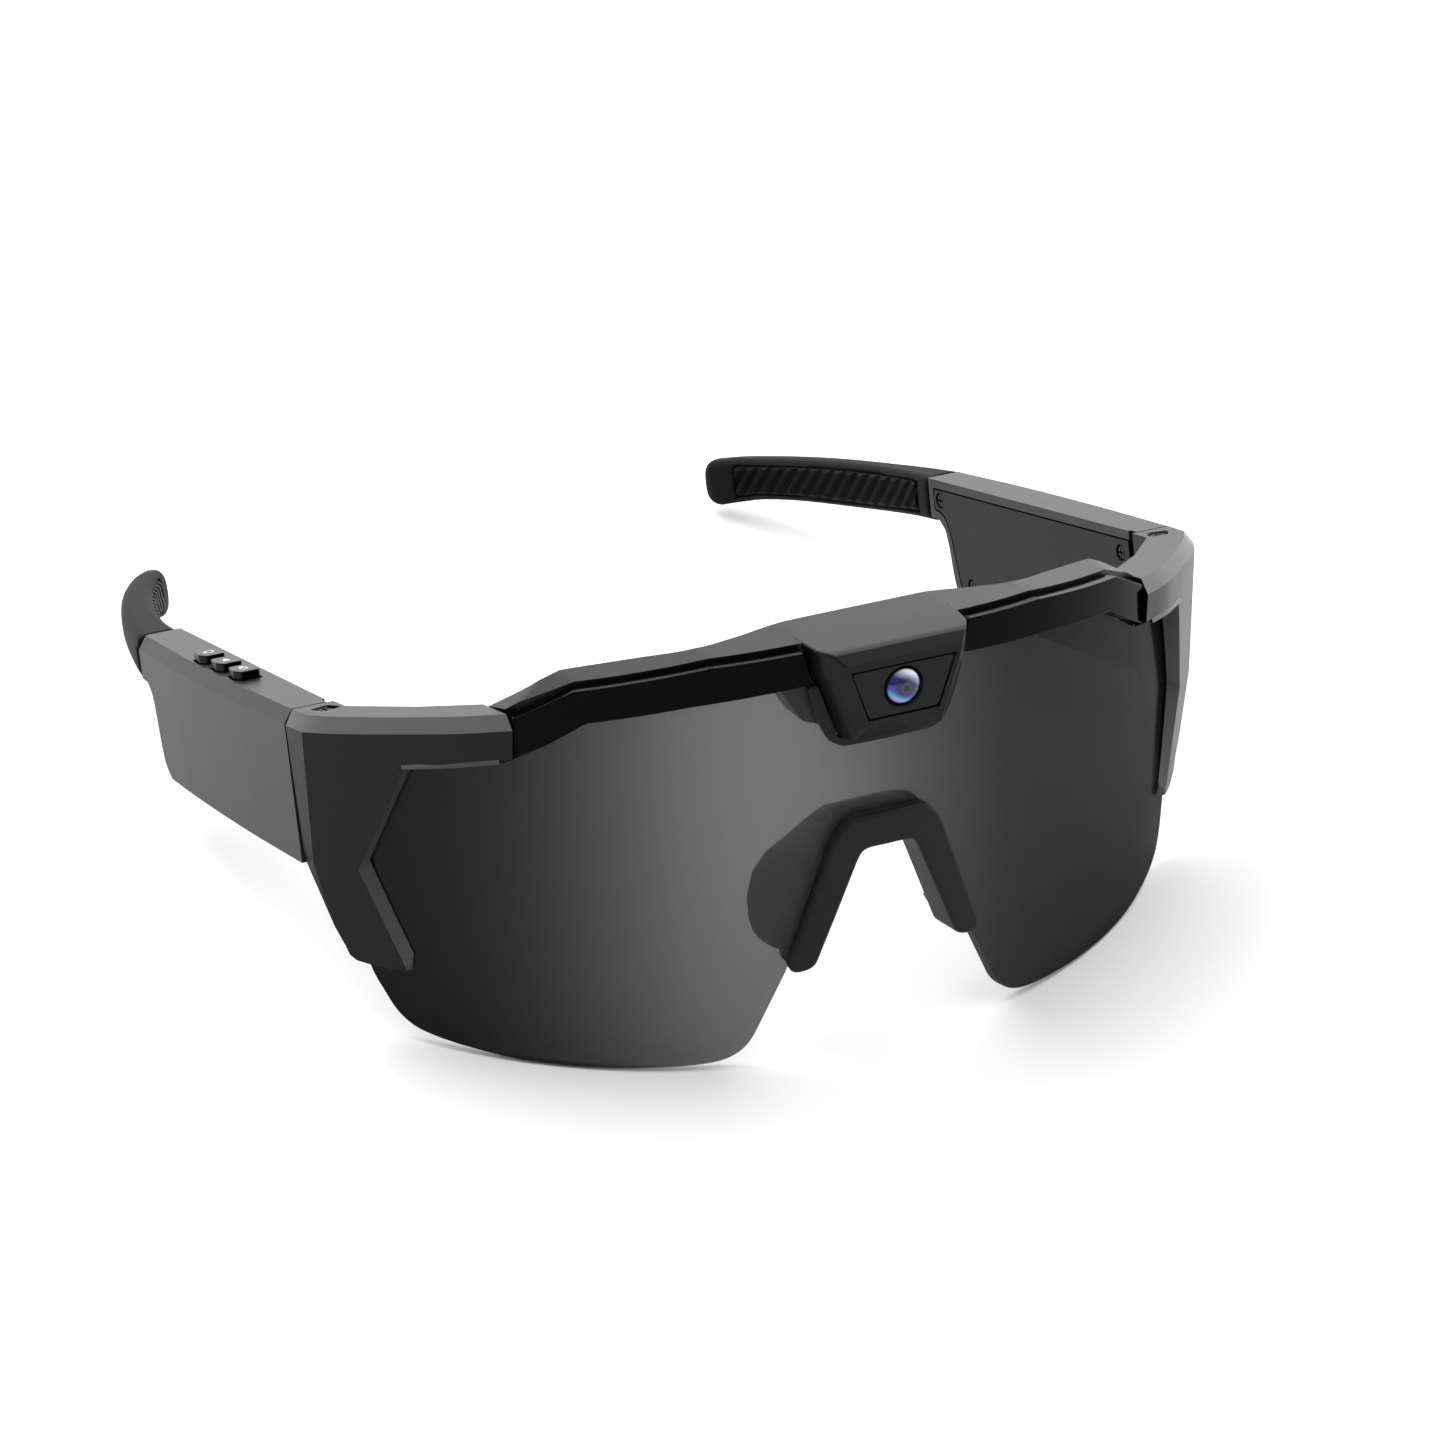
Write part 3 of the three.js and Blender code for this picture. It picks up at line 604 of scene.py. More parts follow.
@dataclass(frozen=True)
class MouldedNylon(Finish):
    """Glass-filled nylon, injection moulded in a spark-eroded tool.

    The tool leaves an even, fine matt grain that breaks up highlights, with a faint waviness where the
    melt cooled. It gives the eye a dry dark grey with a soft sheen at a shallow angle.
    """

    colour: str
    roughness: float = 0.42
    specular: float = 0.5
    grain_mm: float = 0.3  # the real grain is about 0.05 mm; coarser here so that it shows
    depth_mm: float = 0.012

    def make(self) -> Material:
        """Builds the material.

        Returns:
            The material.
        """
        m, place = started_material(self.name)
        grain = add_node(
            m,
            "TexNoise",
            {"in:Scale": 1 / (self.grain_mm * MM), "in:Detail": 3.0, "in:Roughness": 0.6},
            {"Vector": place},
        )
        flow = add_node(
            m,
            "TexNoise",
            {"in:Scale": 1 / (28 * MM), "in:Detail": 2.0},
            {"Vector": place},
        )
        tone = add_node(
            m,
            "MapRange",
            {"in:From Min": 0.3, "in:From Max": 0.7, "in:To Min": 0.96, "in:To Max": 1.04},
            {"Value": flow.outputs["Fac"]},
        )
        colour = add_node(
            m,
            "Mix",
            {"data_type": "RGBA", "blend_type": "MULTIPLY", "in:0": 1.0, "in:6": linear(self.colour)},
            {"7": tone.outputs["Result"]},
        )
        dull = add_node(
            m,
            "MapRange",
            {
                "in:From Min": 0.3,
                "in:From Max": 0.7,
                "in:To Min": self.roughness - 0.03,
                "in:To Max": self.roughness + 0.03,
            },
            {"Value": grain.outputs["Fac"]},
        )
        bump = add_node(
            m,
            "Bump",
            {"in:Strength": 0.15, "in:Distance": self.depth_mm * MM},
            {"Height": grain.outputs["Fac"]},
        )
        shader = add_node(
            m,
            "BsdfPrincipled",
            {"in:IOR": 1.53, "in:Specular IOR Level": self.specular},
            {
                "Base Color": colour.outputs[2],
                "Roughness": dull.outputs["Result"],
                "Normal": bump.outputs["Normal"],
            },
        )
        return close_material(m, shader)


@dataclass(frozen=True)
class OvermouldedRubber(Finish):
    """Thermoplastic elastomer, moulded over a core in a sand-blasted tool.

    A soft skin with no clear highlight: it is dull, slightly powdery at a shallow angle, and its fine
    grain holds a little dust.
    """

    colour: str
    roughness: float = 0.62
    specular: float = 0.35
    grain_mm: float = 0.35

    def make(self) -> Material:
        """Builds the material.

        Returns:
            The material.
        """
        m, place = started_material(self.name)
        grain = add_node(
            m,
            "TexNoise",
            {"in:Scale": 1 / (self.grain_mm * MM), "in:Detail": 4.0, "in:Roughness": 0.7},
            {"Vector": place},
        )
        dust = add_node(m, "ValToRGB", links={"Fac": grain.outputs["Fac"]})
        base = linear(self.colour)[:3]
        for element, position, share in zip(dust.color_ramp.elements, (0.3, 0.75), (0.94, 1.06)):
            element.position = position
            element.color = (*[share * c for c in base], 1.0)
        bump = add_node(
            m,
            "Bump",
            {"in:Strength": 0.15, "in:Distance": 0.008 * MM},
            {"Height": grain.outputs["Fac"]},
        )
        shader = add_node(
            m,
            "BsdfPrincipled",
            {"in:Roughness": self.roughness, "in:IOR": 1.5, "in:Specular IOR Level": self.specular},
            {"Base Color": dust.outputs["Color"], "Normal": bump.outputs["Normal"]},
        )
        return close_material(m, shader)


@dataclass(frozen=True)
class PolishedPolycarbonate(Finish):
    """Black polycarbonate moulded in a mirror-polished tool: deep black with sharp reflections."""

    colour: str = "#030303"
    roughness: float = 0.09
    specular: float = 0.03

    def make(self) -> Material:
        """Builds the material, with the faint waviness of a moulded gloss face.

        Returns:
            The material.
        """
        m, place = started_material(self.name)
        wave = add_node(
            m,
            "TexNoise",
            {"in:Scale": 1 / (9 * MM), "in:Detail": 1.0},
            {"Vector": place},
        )
        haze = add_node(
            m,
            "MapRange",
            {"in:To Min": self.roughness, "in:To Max": self.roughness + 0.06},
            {"Value": wave.outputs["Fac"]},
        )
        bump = add_node(
            m,
            "Bump",
            {"in:Strength": 0.1, "in:Distance": 0.05 * MM},
            {"Height": wave.outputs["Fac"]},
        )
        shader = add_node(
            m,
            "BsdfPrincipled",
            {
                "in:Base Color": linear(self.colour),
                "in:IOR": 1.58,
                "in:Specular IOR Level": self.specular,
            },
            {"Roughness": haze.outputs["Result"], "Normal": bump.outputs["Normal"]},
        )
        return close_material(m, shader)


@dataclass(frozen=True)
class SmokedLensPolycarbonate(Finish):
    """Smoke-tinted polycarbonate with a painted reflection: its diffuse colour is lighter in a band beside
    the nose, to one side of it.

    Dark and closed at the ends, it lets the most light through beside the nose, where the nose pads and
    the table show through it.
    """

    # Painted reflection: how light the lens's diffuse colour is, at shares of the way across the lens.
    painted_reflection_band: tuple[tuple[float, str], ...] = ((0.18, "#0a0a0a"), (0.42, "#4c4c4d"), (0.68, "#0a0a0a"))
    # Across the lens in millimetres, and how much of the light each face stops.
    density: tuple[tuple[float, float], ...] = (
        (-72.0, 0.95),
        (-58.0, 0.93),
        (-42.0, 0.81),
        (-25.0, 0.68),
        (-8.0, 0.69),
        (8.0, 0.81),
        (24.0, 0.885),
        (48.0, 0.925),
        (72.0, 0.94),
    )

    def make(self) -> Material:
        """Builds the material.

        Returns:
            The material.
        """
        m, place = started_material(self.name)
        parts = add_node(m, "SeparateXYZ", links={"Vector": place})
        low, high = self.density[0][0], self.density[-1][0]
        share = add_node(
            m,
            "MapRange",
            {"in:From Min": low * MM, "in:From Max": high * MM},
            {"Value": parts.outputs["X"]},
        )
        stops = add_node(m, "ValToRGB", links={"Fac": share.outputs["Result"]})
        ramp = stops.color_ramp
        ramp.interpolation = "B_SPLINE"
        while len(ramp.elements) < len(self.density):
            ramp.elements.new(0.5)
        for element, (x, stop) in zip(ramp.elements, self.density):
            element.position = (x - low) / (high - low)
            element.color = (stop, stop, stop, 1.0)
        # painted reflection: the diffuse colour is lighter in a band beside the nose
        painted_band = add_node(m, "ValToRGB", links={"Fac": share.outputs["Result"]})
        painted_band.color_ramp.interpolation = "B_SPLINE"
        set_ramp(painted_band, self.painted_reflection_band)
        body = add_node(m, "BsdfDiffuse", links={"Color": painted_band.outputs["Color"]})
        gloss = add_node(m, "BsdfAnisotropic", {"in:Roughness": 0.14})
        slant = add_node(m, "LayerWeight", {"in:Blend": 0.5})
        shine = add_node(
            m,
            "MapRange",
            {"in:From Min": 0.35, "in:To Min": 0.009, "in:To Max": 0.075},
            {"Value": slant.outputs["Facing"]},
        )
        face = add_node(
            m,
            "MixShader",
            links={
                "0": shine.outputs["Result"],
                "1": body.outputs["BSDF"],
                "2": gloss.outputs["BSDF"],
            },
        )
        clear = add_node(m, "BsdfTransparent")
        shader = add_node(
            m,
            "MixShader",
            links={
                "0": stops.outputs["Color"],
                "1": clear.outputs["BSDF"],
                "2": face.outputs["Shader"],
            },
        )
        return close_material(m, shader)


@dataclass(frozen=True)
class CoatedCameraGlass(Finish):
    """Ground optical glass, multi-layer coated, with painted reflections: violet, blue and cyan towards
    the foot and light grey at the top.
    """

    centre: tuple[float, float, float]
    radius_mm: float

    def make(self) -> Material:
        """Builds the material: rings about the axis for the inner elements, partly painted reflection, and
        a painted reflection that sweeps from violet and cyan at the foot to light grey at the top,
        strongest towards the rim.

        Returns:
            The material.
        """
        m, place = started_material(self.name)
        away = add_node(
            m,
            "VectorMath",
            {"operation": "SUBTRACT", "in:1": self.centre},
            {"0": place},
        )
        parts = add_node(m, "SeparateXYZ", links={"Vector": away.outputs[0]})
        flat = add_node(m, "CombineXYZ", links={"X": parts.outputs["X"], "Z": parts.outputs["Z"]})
        length = add_node(m, "VectorMath", {"operation": "LENGTH"}, {"0": flat.outputs[0]})
        share = add_node(
            m,
            "MapRange",
            {"in:From Max": self.radius_mm * MM},
            {"Value": length.outputs["Value"]},
        )
        # rings about the axis: the inner elements, with painted reflection in the lighter blue rings
        rings = add_node(m, "ValToRGB", links={"Fac": share.outputs["Result"]})
        set_ramp(
            rings,
            [
                (0.0, "#10121c"),
                (0.16, "#04050a"),
                (0.26, "#3a3e66"),
                (0.34, "#0a0c1c"),
                (0.6, "#141a44"),
                (0.82, "#4a50b0"),
                (0.93, "#23285c"),
                (1.0, "#060608"),
            ],
        )
        # how much of the painted reflection shows, more towards the rim
        reach = add_node(
            m,
            "MapRange",
            {"in:From Min": 0.3, "in:From Max": 0.75, "in:To Min": 0.1, "in:To Max": 0.8},
            {"Value": share.outputs["Result"]},
        )
        lean = add_node(
            m,
            "Math",
            {"operation": "MULTIPLY_ADD", "in:1": 0.55, "in:2": 0.0},
            {"0": parts.outputs["X"]},
        )
        slope = add_node(
            m,
            "Math",
            {"operation": "ADD"},
            {"0": lean.outputs[0], "1": parts.outputs["Z"]},
        )
        sweep = add_node(
            m,
            "MapRange",
            {"in:From Min": -self.radius_mm * MM, "in:From Max": self.radius_mm * MM},
            {"Value": slope.outputs[0]},
        )
        # painted reflection: violet and cyan at the foot, light grey at the top
        painted_reflection = add_node(m, "ValToRGB", links={"Fac": sweep.outputs["Result"]})
        set_ramp(
            painted_reflection,
            [
                (0.0, "#d070e0"),
                (0.1, "#46c6d2"),
                (0.26, "#3641ae"),
                (0.48, "#171b40"),
                (0.7, "#2c3150"),
                (0.88, "#aab0c4"),
                (1.0, "#f2f4f8"),
            ],
        )
        mix = add_node(
            m,
            "Mix",
            {"data_type": "RGBA", "blend_type": "MIX"},
            {
                "0": reach.outputs["Result"],
                "6": rings.outputs["Color"],
                "7": painted_reflection.outputs["Color"],
            },
        )
        shader = add_node(
            m,
            "BsdfPrincipled",
            {
                "in:Roughness": 0.05,
                "in:IOR": 1.5,
                "in:Specular IOR Level": 0.3,
                "in:Coat Weight": 0.25,
                "in:Coat Roughness": 0.01,
            },
            {"Base Color": mix.outputs[2]},
        )
        return close_material(m, shader)


@dataclass(frozen=True)
class WorkedMetal(Finish):
    """A metal part, stamped, turned or drawn, with fine marks of its making."""

    colour: str
    roughness: float
    mark_mm: float = 0.25

    def make(self) -> Material:
        """Builds the material, with marks that run along the part's length.

        Returns:
            The material.
        """
        m, place = started_material(self.name)
        stretch = add_node(m, "Mapping", {"in:Scale": (1.0, 0.12, 1.0)}, {"Vector": place})
        marks = add_node(
            m,
            "TexNoise",
            {"in:Scale": 1 / (self.mark_mm * MM), "in:Detail": 3.0},
            {"Vector": stretch.outputs["Vector"]},
        )
        dull = add_node(
            m,
            "MapRange",
            {"in:To Min": self.roughness - 0.08, "in:To Max": self.roughness + 0.1},
            {"Value": marks.outputs["Fac"]},
        )
        bump = add_node(
            m,
            "Bump",
            {"in:Strength": 0.2, "in:Distance": 0.01 * MM},
            {"Height": marks.outputs["Fac"]},
        )
        shader = add_node(
            m,
            "BsdfPrincipled",
            {"in:Base Color": linear(self.colour), "in:Metallic": 1.0},
            {"Roughness": dull.outputs["Result"], "Normal": bump.outputs["Normal"]},
        )
        return close_material(m, shader)


@dataclass(frozen=True)
class PrintedCircuit(Finish):
    """Solder mask over copper: a glossy green lacquer with the tracks just raised under it."""

    mask: str = "#14503a"
    copper: str = "#2f7a52"
    track_mm: float = 1.2

    def make(self) -> Material:
        """Builds the material.

        Returns:
            The material.
        """
        m, place = started_material(self.name)
        tracks = add_node(
            m,
            "TexVoronoi",
            {"distance": "CHEBYCHEV", "feature": "F1", "in:Scale": 1 / (self.track_mm * MM)},
            {"Vector": place},
        )
        tone = add_node(m, "ValToRGB", links={"Fac": tracks.outputs["Distance"]})
        set_ramp(tone, [(0.38, self.mask), (0.46, self.copper)])
        bump = add_node(
            m,
            "Bump",
            {"in:Strength": 0.3, "in:Distance": 0.03 * MM},
            {"Height": tone.outputs["Color"]},
        )
        shader = add_node(
            m,
            "BsdfPrincipled",
            {"in:Roughness": 0.3},
            {"Base Color": tone.outputs["Color"], "Normal": bump.outputs["Normal"]},
        )
        return close_material(m, shader)


@dataclass(frozen=True)
class PlainFilm(Finish):
    """A thin film, foil or printed ink over something else, with a slight crinkle."""

    colour: str
    roughness: float
    metallic: float = 0.0
    crinkle_mm: float = 2.5

    def make(self) -> Material:
        """Builds the material.

        Returns:
            The material.
        """
        m, place = started_material(self.name)
        fold = add_node(
            m,
            "TexNoise",
            {"in:Scale": 1 / (self.crinkle_mm * MM), "in:Detail": 2.0},
            {"Vector": place},
        )
        bump = add_node(
            m,
            "Bump",
            {"in:Strength": 0.2, "in:Distance": 0.05 * MM},
            {"Height": fold.outputs["Fac"]},
        )
        shader = add_node(
            m,
            "BsdfPrincipled",
            {
                "in:Base Color": linear(self.colour),
                "in:Roughness": self.roughness,
                "in:Metallic": self.metallic,
            },
            {"Normal": bump.outputs["Normal"]},
        )
        return close_material(m, shader)


# ---- making pieces ----
@dataclass(frozen=True)
class Dressing:
    """What a finished piece rides on and the CAD nodes it stands for, with the record's slot."""

    body: str
    slot: str
    nodes: tuple[str, ...] = ()


def make_piece(
    name: str,
    solid: Solid,
    place: Matrix,
    material: Material,
    dressing: Dressing,
    rounding: float = 0.25,
    angle: float = 28.0,
    accent: tuple[Material, Callable[[Vector, Vector], bool]] | None = None,
) -> bpy.types.Object:
    """Turns a solid into a piece of the object.

    Args:
        name: The piece's name.
        solid: Its body, in millimetres.
        place: The matrix from the solid's frame to the table, in metres.
        material: Its finish.
        dressing: Where it rides and what it stands for.
        rounding: Width of the rounded edge, in millimetres, or 0 for none.
        angle: Faces that meet at more than this many degrees get the rounded edge.
        accent: A second finish and the test, on a face's centre and normal in millimetres, for it.

    Returns:
        The piece, riding on its body.
    """
    build = bmesh.new()
    build.from_mesh(solid.mesh)
    bmesh.ops.remove_doubles(build, verts=build.verts, dist=0.01)
    bmesh.ops.dissolve_limit(
        build, angle_limit=math.radians(0.4), verts=build.verts, edges=build.edges
    )
    for face in build.faces:
        chosen = accent is not None and accent[1](face.calc_center_median(), face.normal)
        face.material_index = int(chosen)
    bmesh.ops.transform(build, matrix=place, verts=build.verts)
    bmesh.ops.recalc_face_normals(build, faces=build.faces)
    mesh = bpy.data.meshes.new(name)
    build.to_mesh(mesh)
    build.free()
    mesh.materials.append(material)
    if accent is not None:
        mesh.materials.append(accent[0])
    mesh.shade_smooth()
    piece = bpy.data.objects.new(name, mesh)
    bpy.context.scene.collection.objects.link(piece)
    soften_edges(piece, rounding, angle)
    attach(piece, dressing.body)
    if dressing.nodes:
        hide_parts(*dressing.nodes)
    log.info("%s: %d faces", name, len(mesh.polygons))
    return piece


def soften_edges(piece: bpy.types.Object, rounding: float, angle: float) -> None:
    """Gives an object rounded edges and clean shading, by modifiers.

    Args:
        piece: The object.
        rounding: Width of the rounded edge, in millimetres, or 0 for none.
        angle: Faces that meet at more than this many degrees get the rounded edge.
    """
    if rounding:
        edge = piece.modifiers.new("rounded edges", "BEVEL")
        edge.width = rounding * MM
        edge.segments = 3
        edge.limit_method = "ANGLE"
        edge.angle_limit = math.radians(angle)
        edge.use_clamp_overlap = True
        edge.miter_outer = "MITER_ARC"
        # corners where the rounding runs out are closed up to single points
        weld = piece.modifiers.new("closed corners", "WELD")
        weld.merge_threshold = 0.0002 * MM
    shade = piece.modifiers.new("even shading", "WEIGHTED_NORMAL")
    shade.weight = 60
    shade.keep_sharp = True


def redress_node(name: str, material: Material, rounding: float = 0.08) -> None:
    """Gives a CAD node that stays in view its finish and rounded edges.

    Args:
        name: The node's name.
        material: Its finish.
        rounding: Width of its rounded edges, in millimetres.
    """
    node = frame["nodes"][name]
    node.data.materials.clear()
    node.data.materials.append(material)
    flatten = node.modifiers.new("flat faces", "DECIMATE")
    flatten.decimate_type = "DISSOLVE"
    flatten.angle_limit = math.radians(1.0)
    soften_edges(node, rounding, 30.0)


def material_of(finish: Finish) -> Material:
    """A dataclass field that holds the material which a finish makes."""
    return field(default_factory=finish.make)


@dataclass
class Finishes:
    """Every material of the glasses, made once."""

    front: Material = material_of(MouldedNylon("front nylon", "#0d0e0d", 0.34, 0.13))
    # a lighter copy of the front nylon: its colour is a painted highlight on the window's bevels, the
    # ledge and the hood's edge
    bevel: Material = material_of(MouldedNylon("satin bevel nylon", "#434443", 0.3, 0.28))
    # lighter than the front nylon, partly its own tone and partly painted light from the table
    temple: Material = material_of(MouldedNylon("temple nylon", "#181918", 0.42, 0.22))
    cover: Material = material_of(MouldedNylon("cover nylon", "#121312", 0.4, 0.1))
    plate: Material = material_of(MouldedNylon("window plate nylon", "#101110", 0.32, 0.13))
    trim: Material = material_of(PolishedPolycarbonate("polished trim"))
    button: Material = material_of(PolishedPolycarbonate("polished button", "#030303", 0.2, 0.08))
    lens: Material = material_of(SmokedLensPolycarbonate("smoked lens"))
    rubber: Material = material_of(OvermouldedRubber("nose rubber", "#151514", 0.5, 0.16))
    # lighter than the nose rubber, partly painted light that makes up for the shade behind the lens
    pad: Material = material_of(OvermouldedRubber("pad rubber", "#424240", 0.5, 0.2))
    hinge: Material = material_of(WorkedMetal("black oxide hinge steel", "#0c0c0d", 0.5))
    tip: Material = material_of(OvermouldedRubber("tip rubber", "#0f0f0f", 0.6, 0.06))
    grip: Material = material_of(OvermouldedRubber("grip rubber", "#050505", 0.45, 0.06))
    screw: Material = material_of(WorkedMetal("black oxide steel", "#2a2a2c", 0.32))
    steel: Material = material_of(WorkedMetal("stainless steel", "#a9abad", 0.28))
    board: Material = material_of(PrintedCircuit("circuit board"))
    chip: Material = material_of(PlainFilm("chip resin", "#161617", 0.5, 0.0, 0.4))
    foil: Material = material_of(PlainFilm("battery foil", "#b5b8bb", 0.32, 1.0))
    flex: Material = material_of(PlainFilm("black polyimide cover film", "#17130f", 0.3))
    ink: Material = material_of(PlainFilm("white ink", "#d6d6d4", 0.5, 0.0, 0.8))


# ---- the front ----
BROW_TOP: Outline = [
    (0.0, 67.7),
    (12.0, 67.6),
    (27.5, 66.6),
    (47.6, 63.4),
    (57.2, 58.2),
    (62.0, 55.6),
]
SEAM_X = 54.4


def brow_top(s: float) -> float:
    """Height of the brow's top edge over the lens."""
    return looked_up(BROW_TOP, abs(s))


def lens_outline(grow: float = 0.0, port: bool = False) -> Outline:
    """The lens's edge as (arc length, height), corners rounded.

    Args:
        grow: How much larger than the lens it is.
        port: Whether the notch for the camera is left out of it.

    Returns:
        The closed outline.
    """
    top = [(s, v - 2.4 + grow) for s, v in BROW_TOP[1:4]]
    end = LENS_HALF_ARC + grow
    side = [(57.2, 54 + grow), (64, 51.2 + grow), (72, 49.8 + grow), (end, 48.4 + grow)]
    foot = curve_through(
        [
            (end, 13.4),
            (81.2, 10.6),
            (79.6, 8.1),
            (77.4, 5.0),
            (74.6, 2.9),
            (71, 1.7),
            (66, 0.7),
            (57.5, -0.6),
            (48, -1.3),
            (37, -1.5),
            (29.0, -1.3),
            (25.6, -0.7),
            (23.3, 0.5),
            (21.7, 2.2),
            (20.6, 4.2),
        ],
        4,
    )
    notch = [(16.1 - grow, 13.2), (8.6 - grow, 31.8), (7 - grow, 33.8 - grow)]
    half = [*top, *side, *[(p.x, p.y - grow) for p in foot], *notch]
    if port:
        half = [(6.4, 54.0), (6.4, 65.2), *half]
    return mirrored(half)


@dataclass
class ShieldLens:
    """The one-piece wrap-round lens."""

    rim: float = 0.28

    def build(self, finishes: Finishes) -> None:
        """Bends the smoked plate round the face and hangs it under the brow.

        Args:
            finishes: The materials.
        """
        plate = wrapped(lens_outline(port=True), 0.0, -LENS_THICKNESS, self.rim)
        make_piece(
            "lens_shield",
            plate,
            LENS,
            finishes.lens,
            Dressing("front", "smoke_lens", ("shield_lens",)),
            rounding=0,
        )


@dataclass
class Brow:
    """The brow frame with the camera housing that stands out of its middle."""

    rear: tuple[tuple[float, float], ...] = (
        (SEAM_X, 23.4),
        (49.6, 19.4),
        (44.3, 17.0),
        (35.0, 12.4),
        (27.2, 8.7),
        (20.5, 8.6),
        (13.5, 9.3),
        (0.0, 9.4),
    )
    # depth, half width at the top and its height, the same at the foot, half width at the shoulder
    housing: tuple[tuple[float, ...], ...] = (
        (4.0, 13.6, 67.6, 8.2, 52.2, 12.9),
        (-2.6, 12.8, 67.6, 8.2, 52.2, 12.2),
        (-4.3, 11.9, 67.6, 7.6, 52.3, 11.5),
        (-5.4, 11.1, 67.3, 7.2, 53.6, 10.8),
        (-6.7, 9.9, 65.9, 6.7, 55.1, 9.4),
    )

    # x and z of the wedge that lies off the top beside each seam, seen from the front
    hip: tuple[tuple[float, float], ...] = (
        (46.0, 63.1),
        (54.5, 58.0),
        (70.0, 58.0),
        (70.0, 80.0),
        (46.0, 80.0),
    )

    def housing_body(self, grow: float = 0.0) -> Solid:
        """The camera housing, its corners rounded and its front edge rolled over.

        Args:
            grow: How much larger than the housing it is.

        Returns:
            The body, in the lens frame.
        """
        rings = []
        for w, top, top_v, foot, foot_v, shoulder in self.housing:
            half = [(top + grow, top_v), (shoulder + grow, 63.5), (foot + grow, foot_v - grow)]
            rings.append([(x, w, v) for x, v in softened(mirrored(half), 0.5, 4)])
        return Solid.skin(rings)

    def build(self, finishes: Finishes) -> None:
        """Cuts the bar from its plan and its front view, and joins the housing to it.

        Args:
            finishes: The materials.
        """
        rear = [(p.x, p.y) for p in curve_through(self.rear, 6)]
        arc = [58.0 * (1 - i / 36) for i in range(73)]
        front = [(max(-SEAM_X, min(SEAM_X, across(s))), back(s)) for s in arc]
        plan = [*reversed(rear[:-1]), *front, *[(-x, w) for x, w in rear]]
        top = [(across(s), v) for s, v in BROW_TOP[1:4]]
        sole = [(SEAM_X, 58.6), (SEAM_X, 52.4), (43.4, 57.4), (16, 60), (12, 53.6), (8.2, 52.2)]
        bar = Solid.prism(plan, "z", 40, 80).kept_in(
            Solid.prism(mirrored([*top, *sole]), "y", -REACH, REACH)
        )
        room = wrapped(lens_outline(GAP), REACH / 2, -LENS_THICKNESS - GAP, 0)
        body = self.housing_body()
        port = Solid.prism(mirrored([(6.1, 66), (6.1, 54.3)]), "y", -REACH, REACH)
        lid = Solid.prism(mirrored([(REACH, 90), (REACH, 65.7)]), "y", -REACH, REACH)
        ahead = body.cut(shell_layer(GAP, -20, 60, 0, 90))
        chamber = Solid.prism(mirrored([(8.9, 64.6), (6.0, 56.2)]), "y", -REACH, 0)
        deep = Solid.prism(mirrored([(8.9, 64.6), (6.0, 54.6)]), "y", -5.1, 7.6)
        whole = bar.cut(room).joined(ahead, body.kept_in(port), body.kept_in(lid))
        # Near each seam the top runs level from front to back, as the side shield's top does.
        hip = Solid.prism(list(self.hip), "y", -REACH, REACH)
        upright = LEAN.inverted()
        hips = [hip.placed(upright @ side.flip()) for side in Side]
        make_piece(
            "brow",
            whole.cut(chamber, deep, *hips),
            LENS,
            finishes.front,
            Dressing("front", "matt_shell", ("brow_frame",)),
            rounding=0.3,
        )


@dataclass
class BrowTrim:
    """The polished strip under the brow's top edge, one each side of the camera."""

    drop: float = 0.7
    rim: float = 0.22
    end_x: float = 54.25

    def build(self, finishes: Finishes) -> None:
        """Bends both strips round the lens.

        Args:
            finishes: The materials.
        """
        for side in Side:
            upper = [(s, brow_top(s) - self.drop) for s in (13.5, 27.5, 47.5, 59.0)]
            lower = [(59.0, 50.0), (51.3, 54.0), (45.6, 57.6), (30.0, 59.9), (12.5, 61.5)]
            outline = softened([(side.value * s, v) for s, v in [*upper, *lower]], 0.5, 4)
            strip = wrapped(outline, 2.4, GAP, self.rim)
            beyond = Solid.block((self.end_x, -REACH, -REACH), (REACH, REACH, REACH))
            make_piece(
                f"trim_{side.label}",
                strip.cut(beyond.placed(side.flip())),
                LENS,
                finishes.trim,
                Dressing("front", "gloss_trim", (f"brow_trim_{side.label}",)),
                rounding=0,
            )


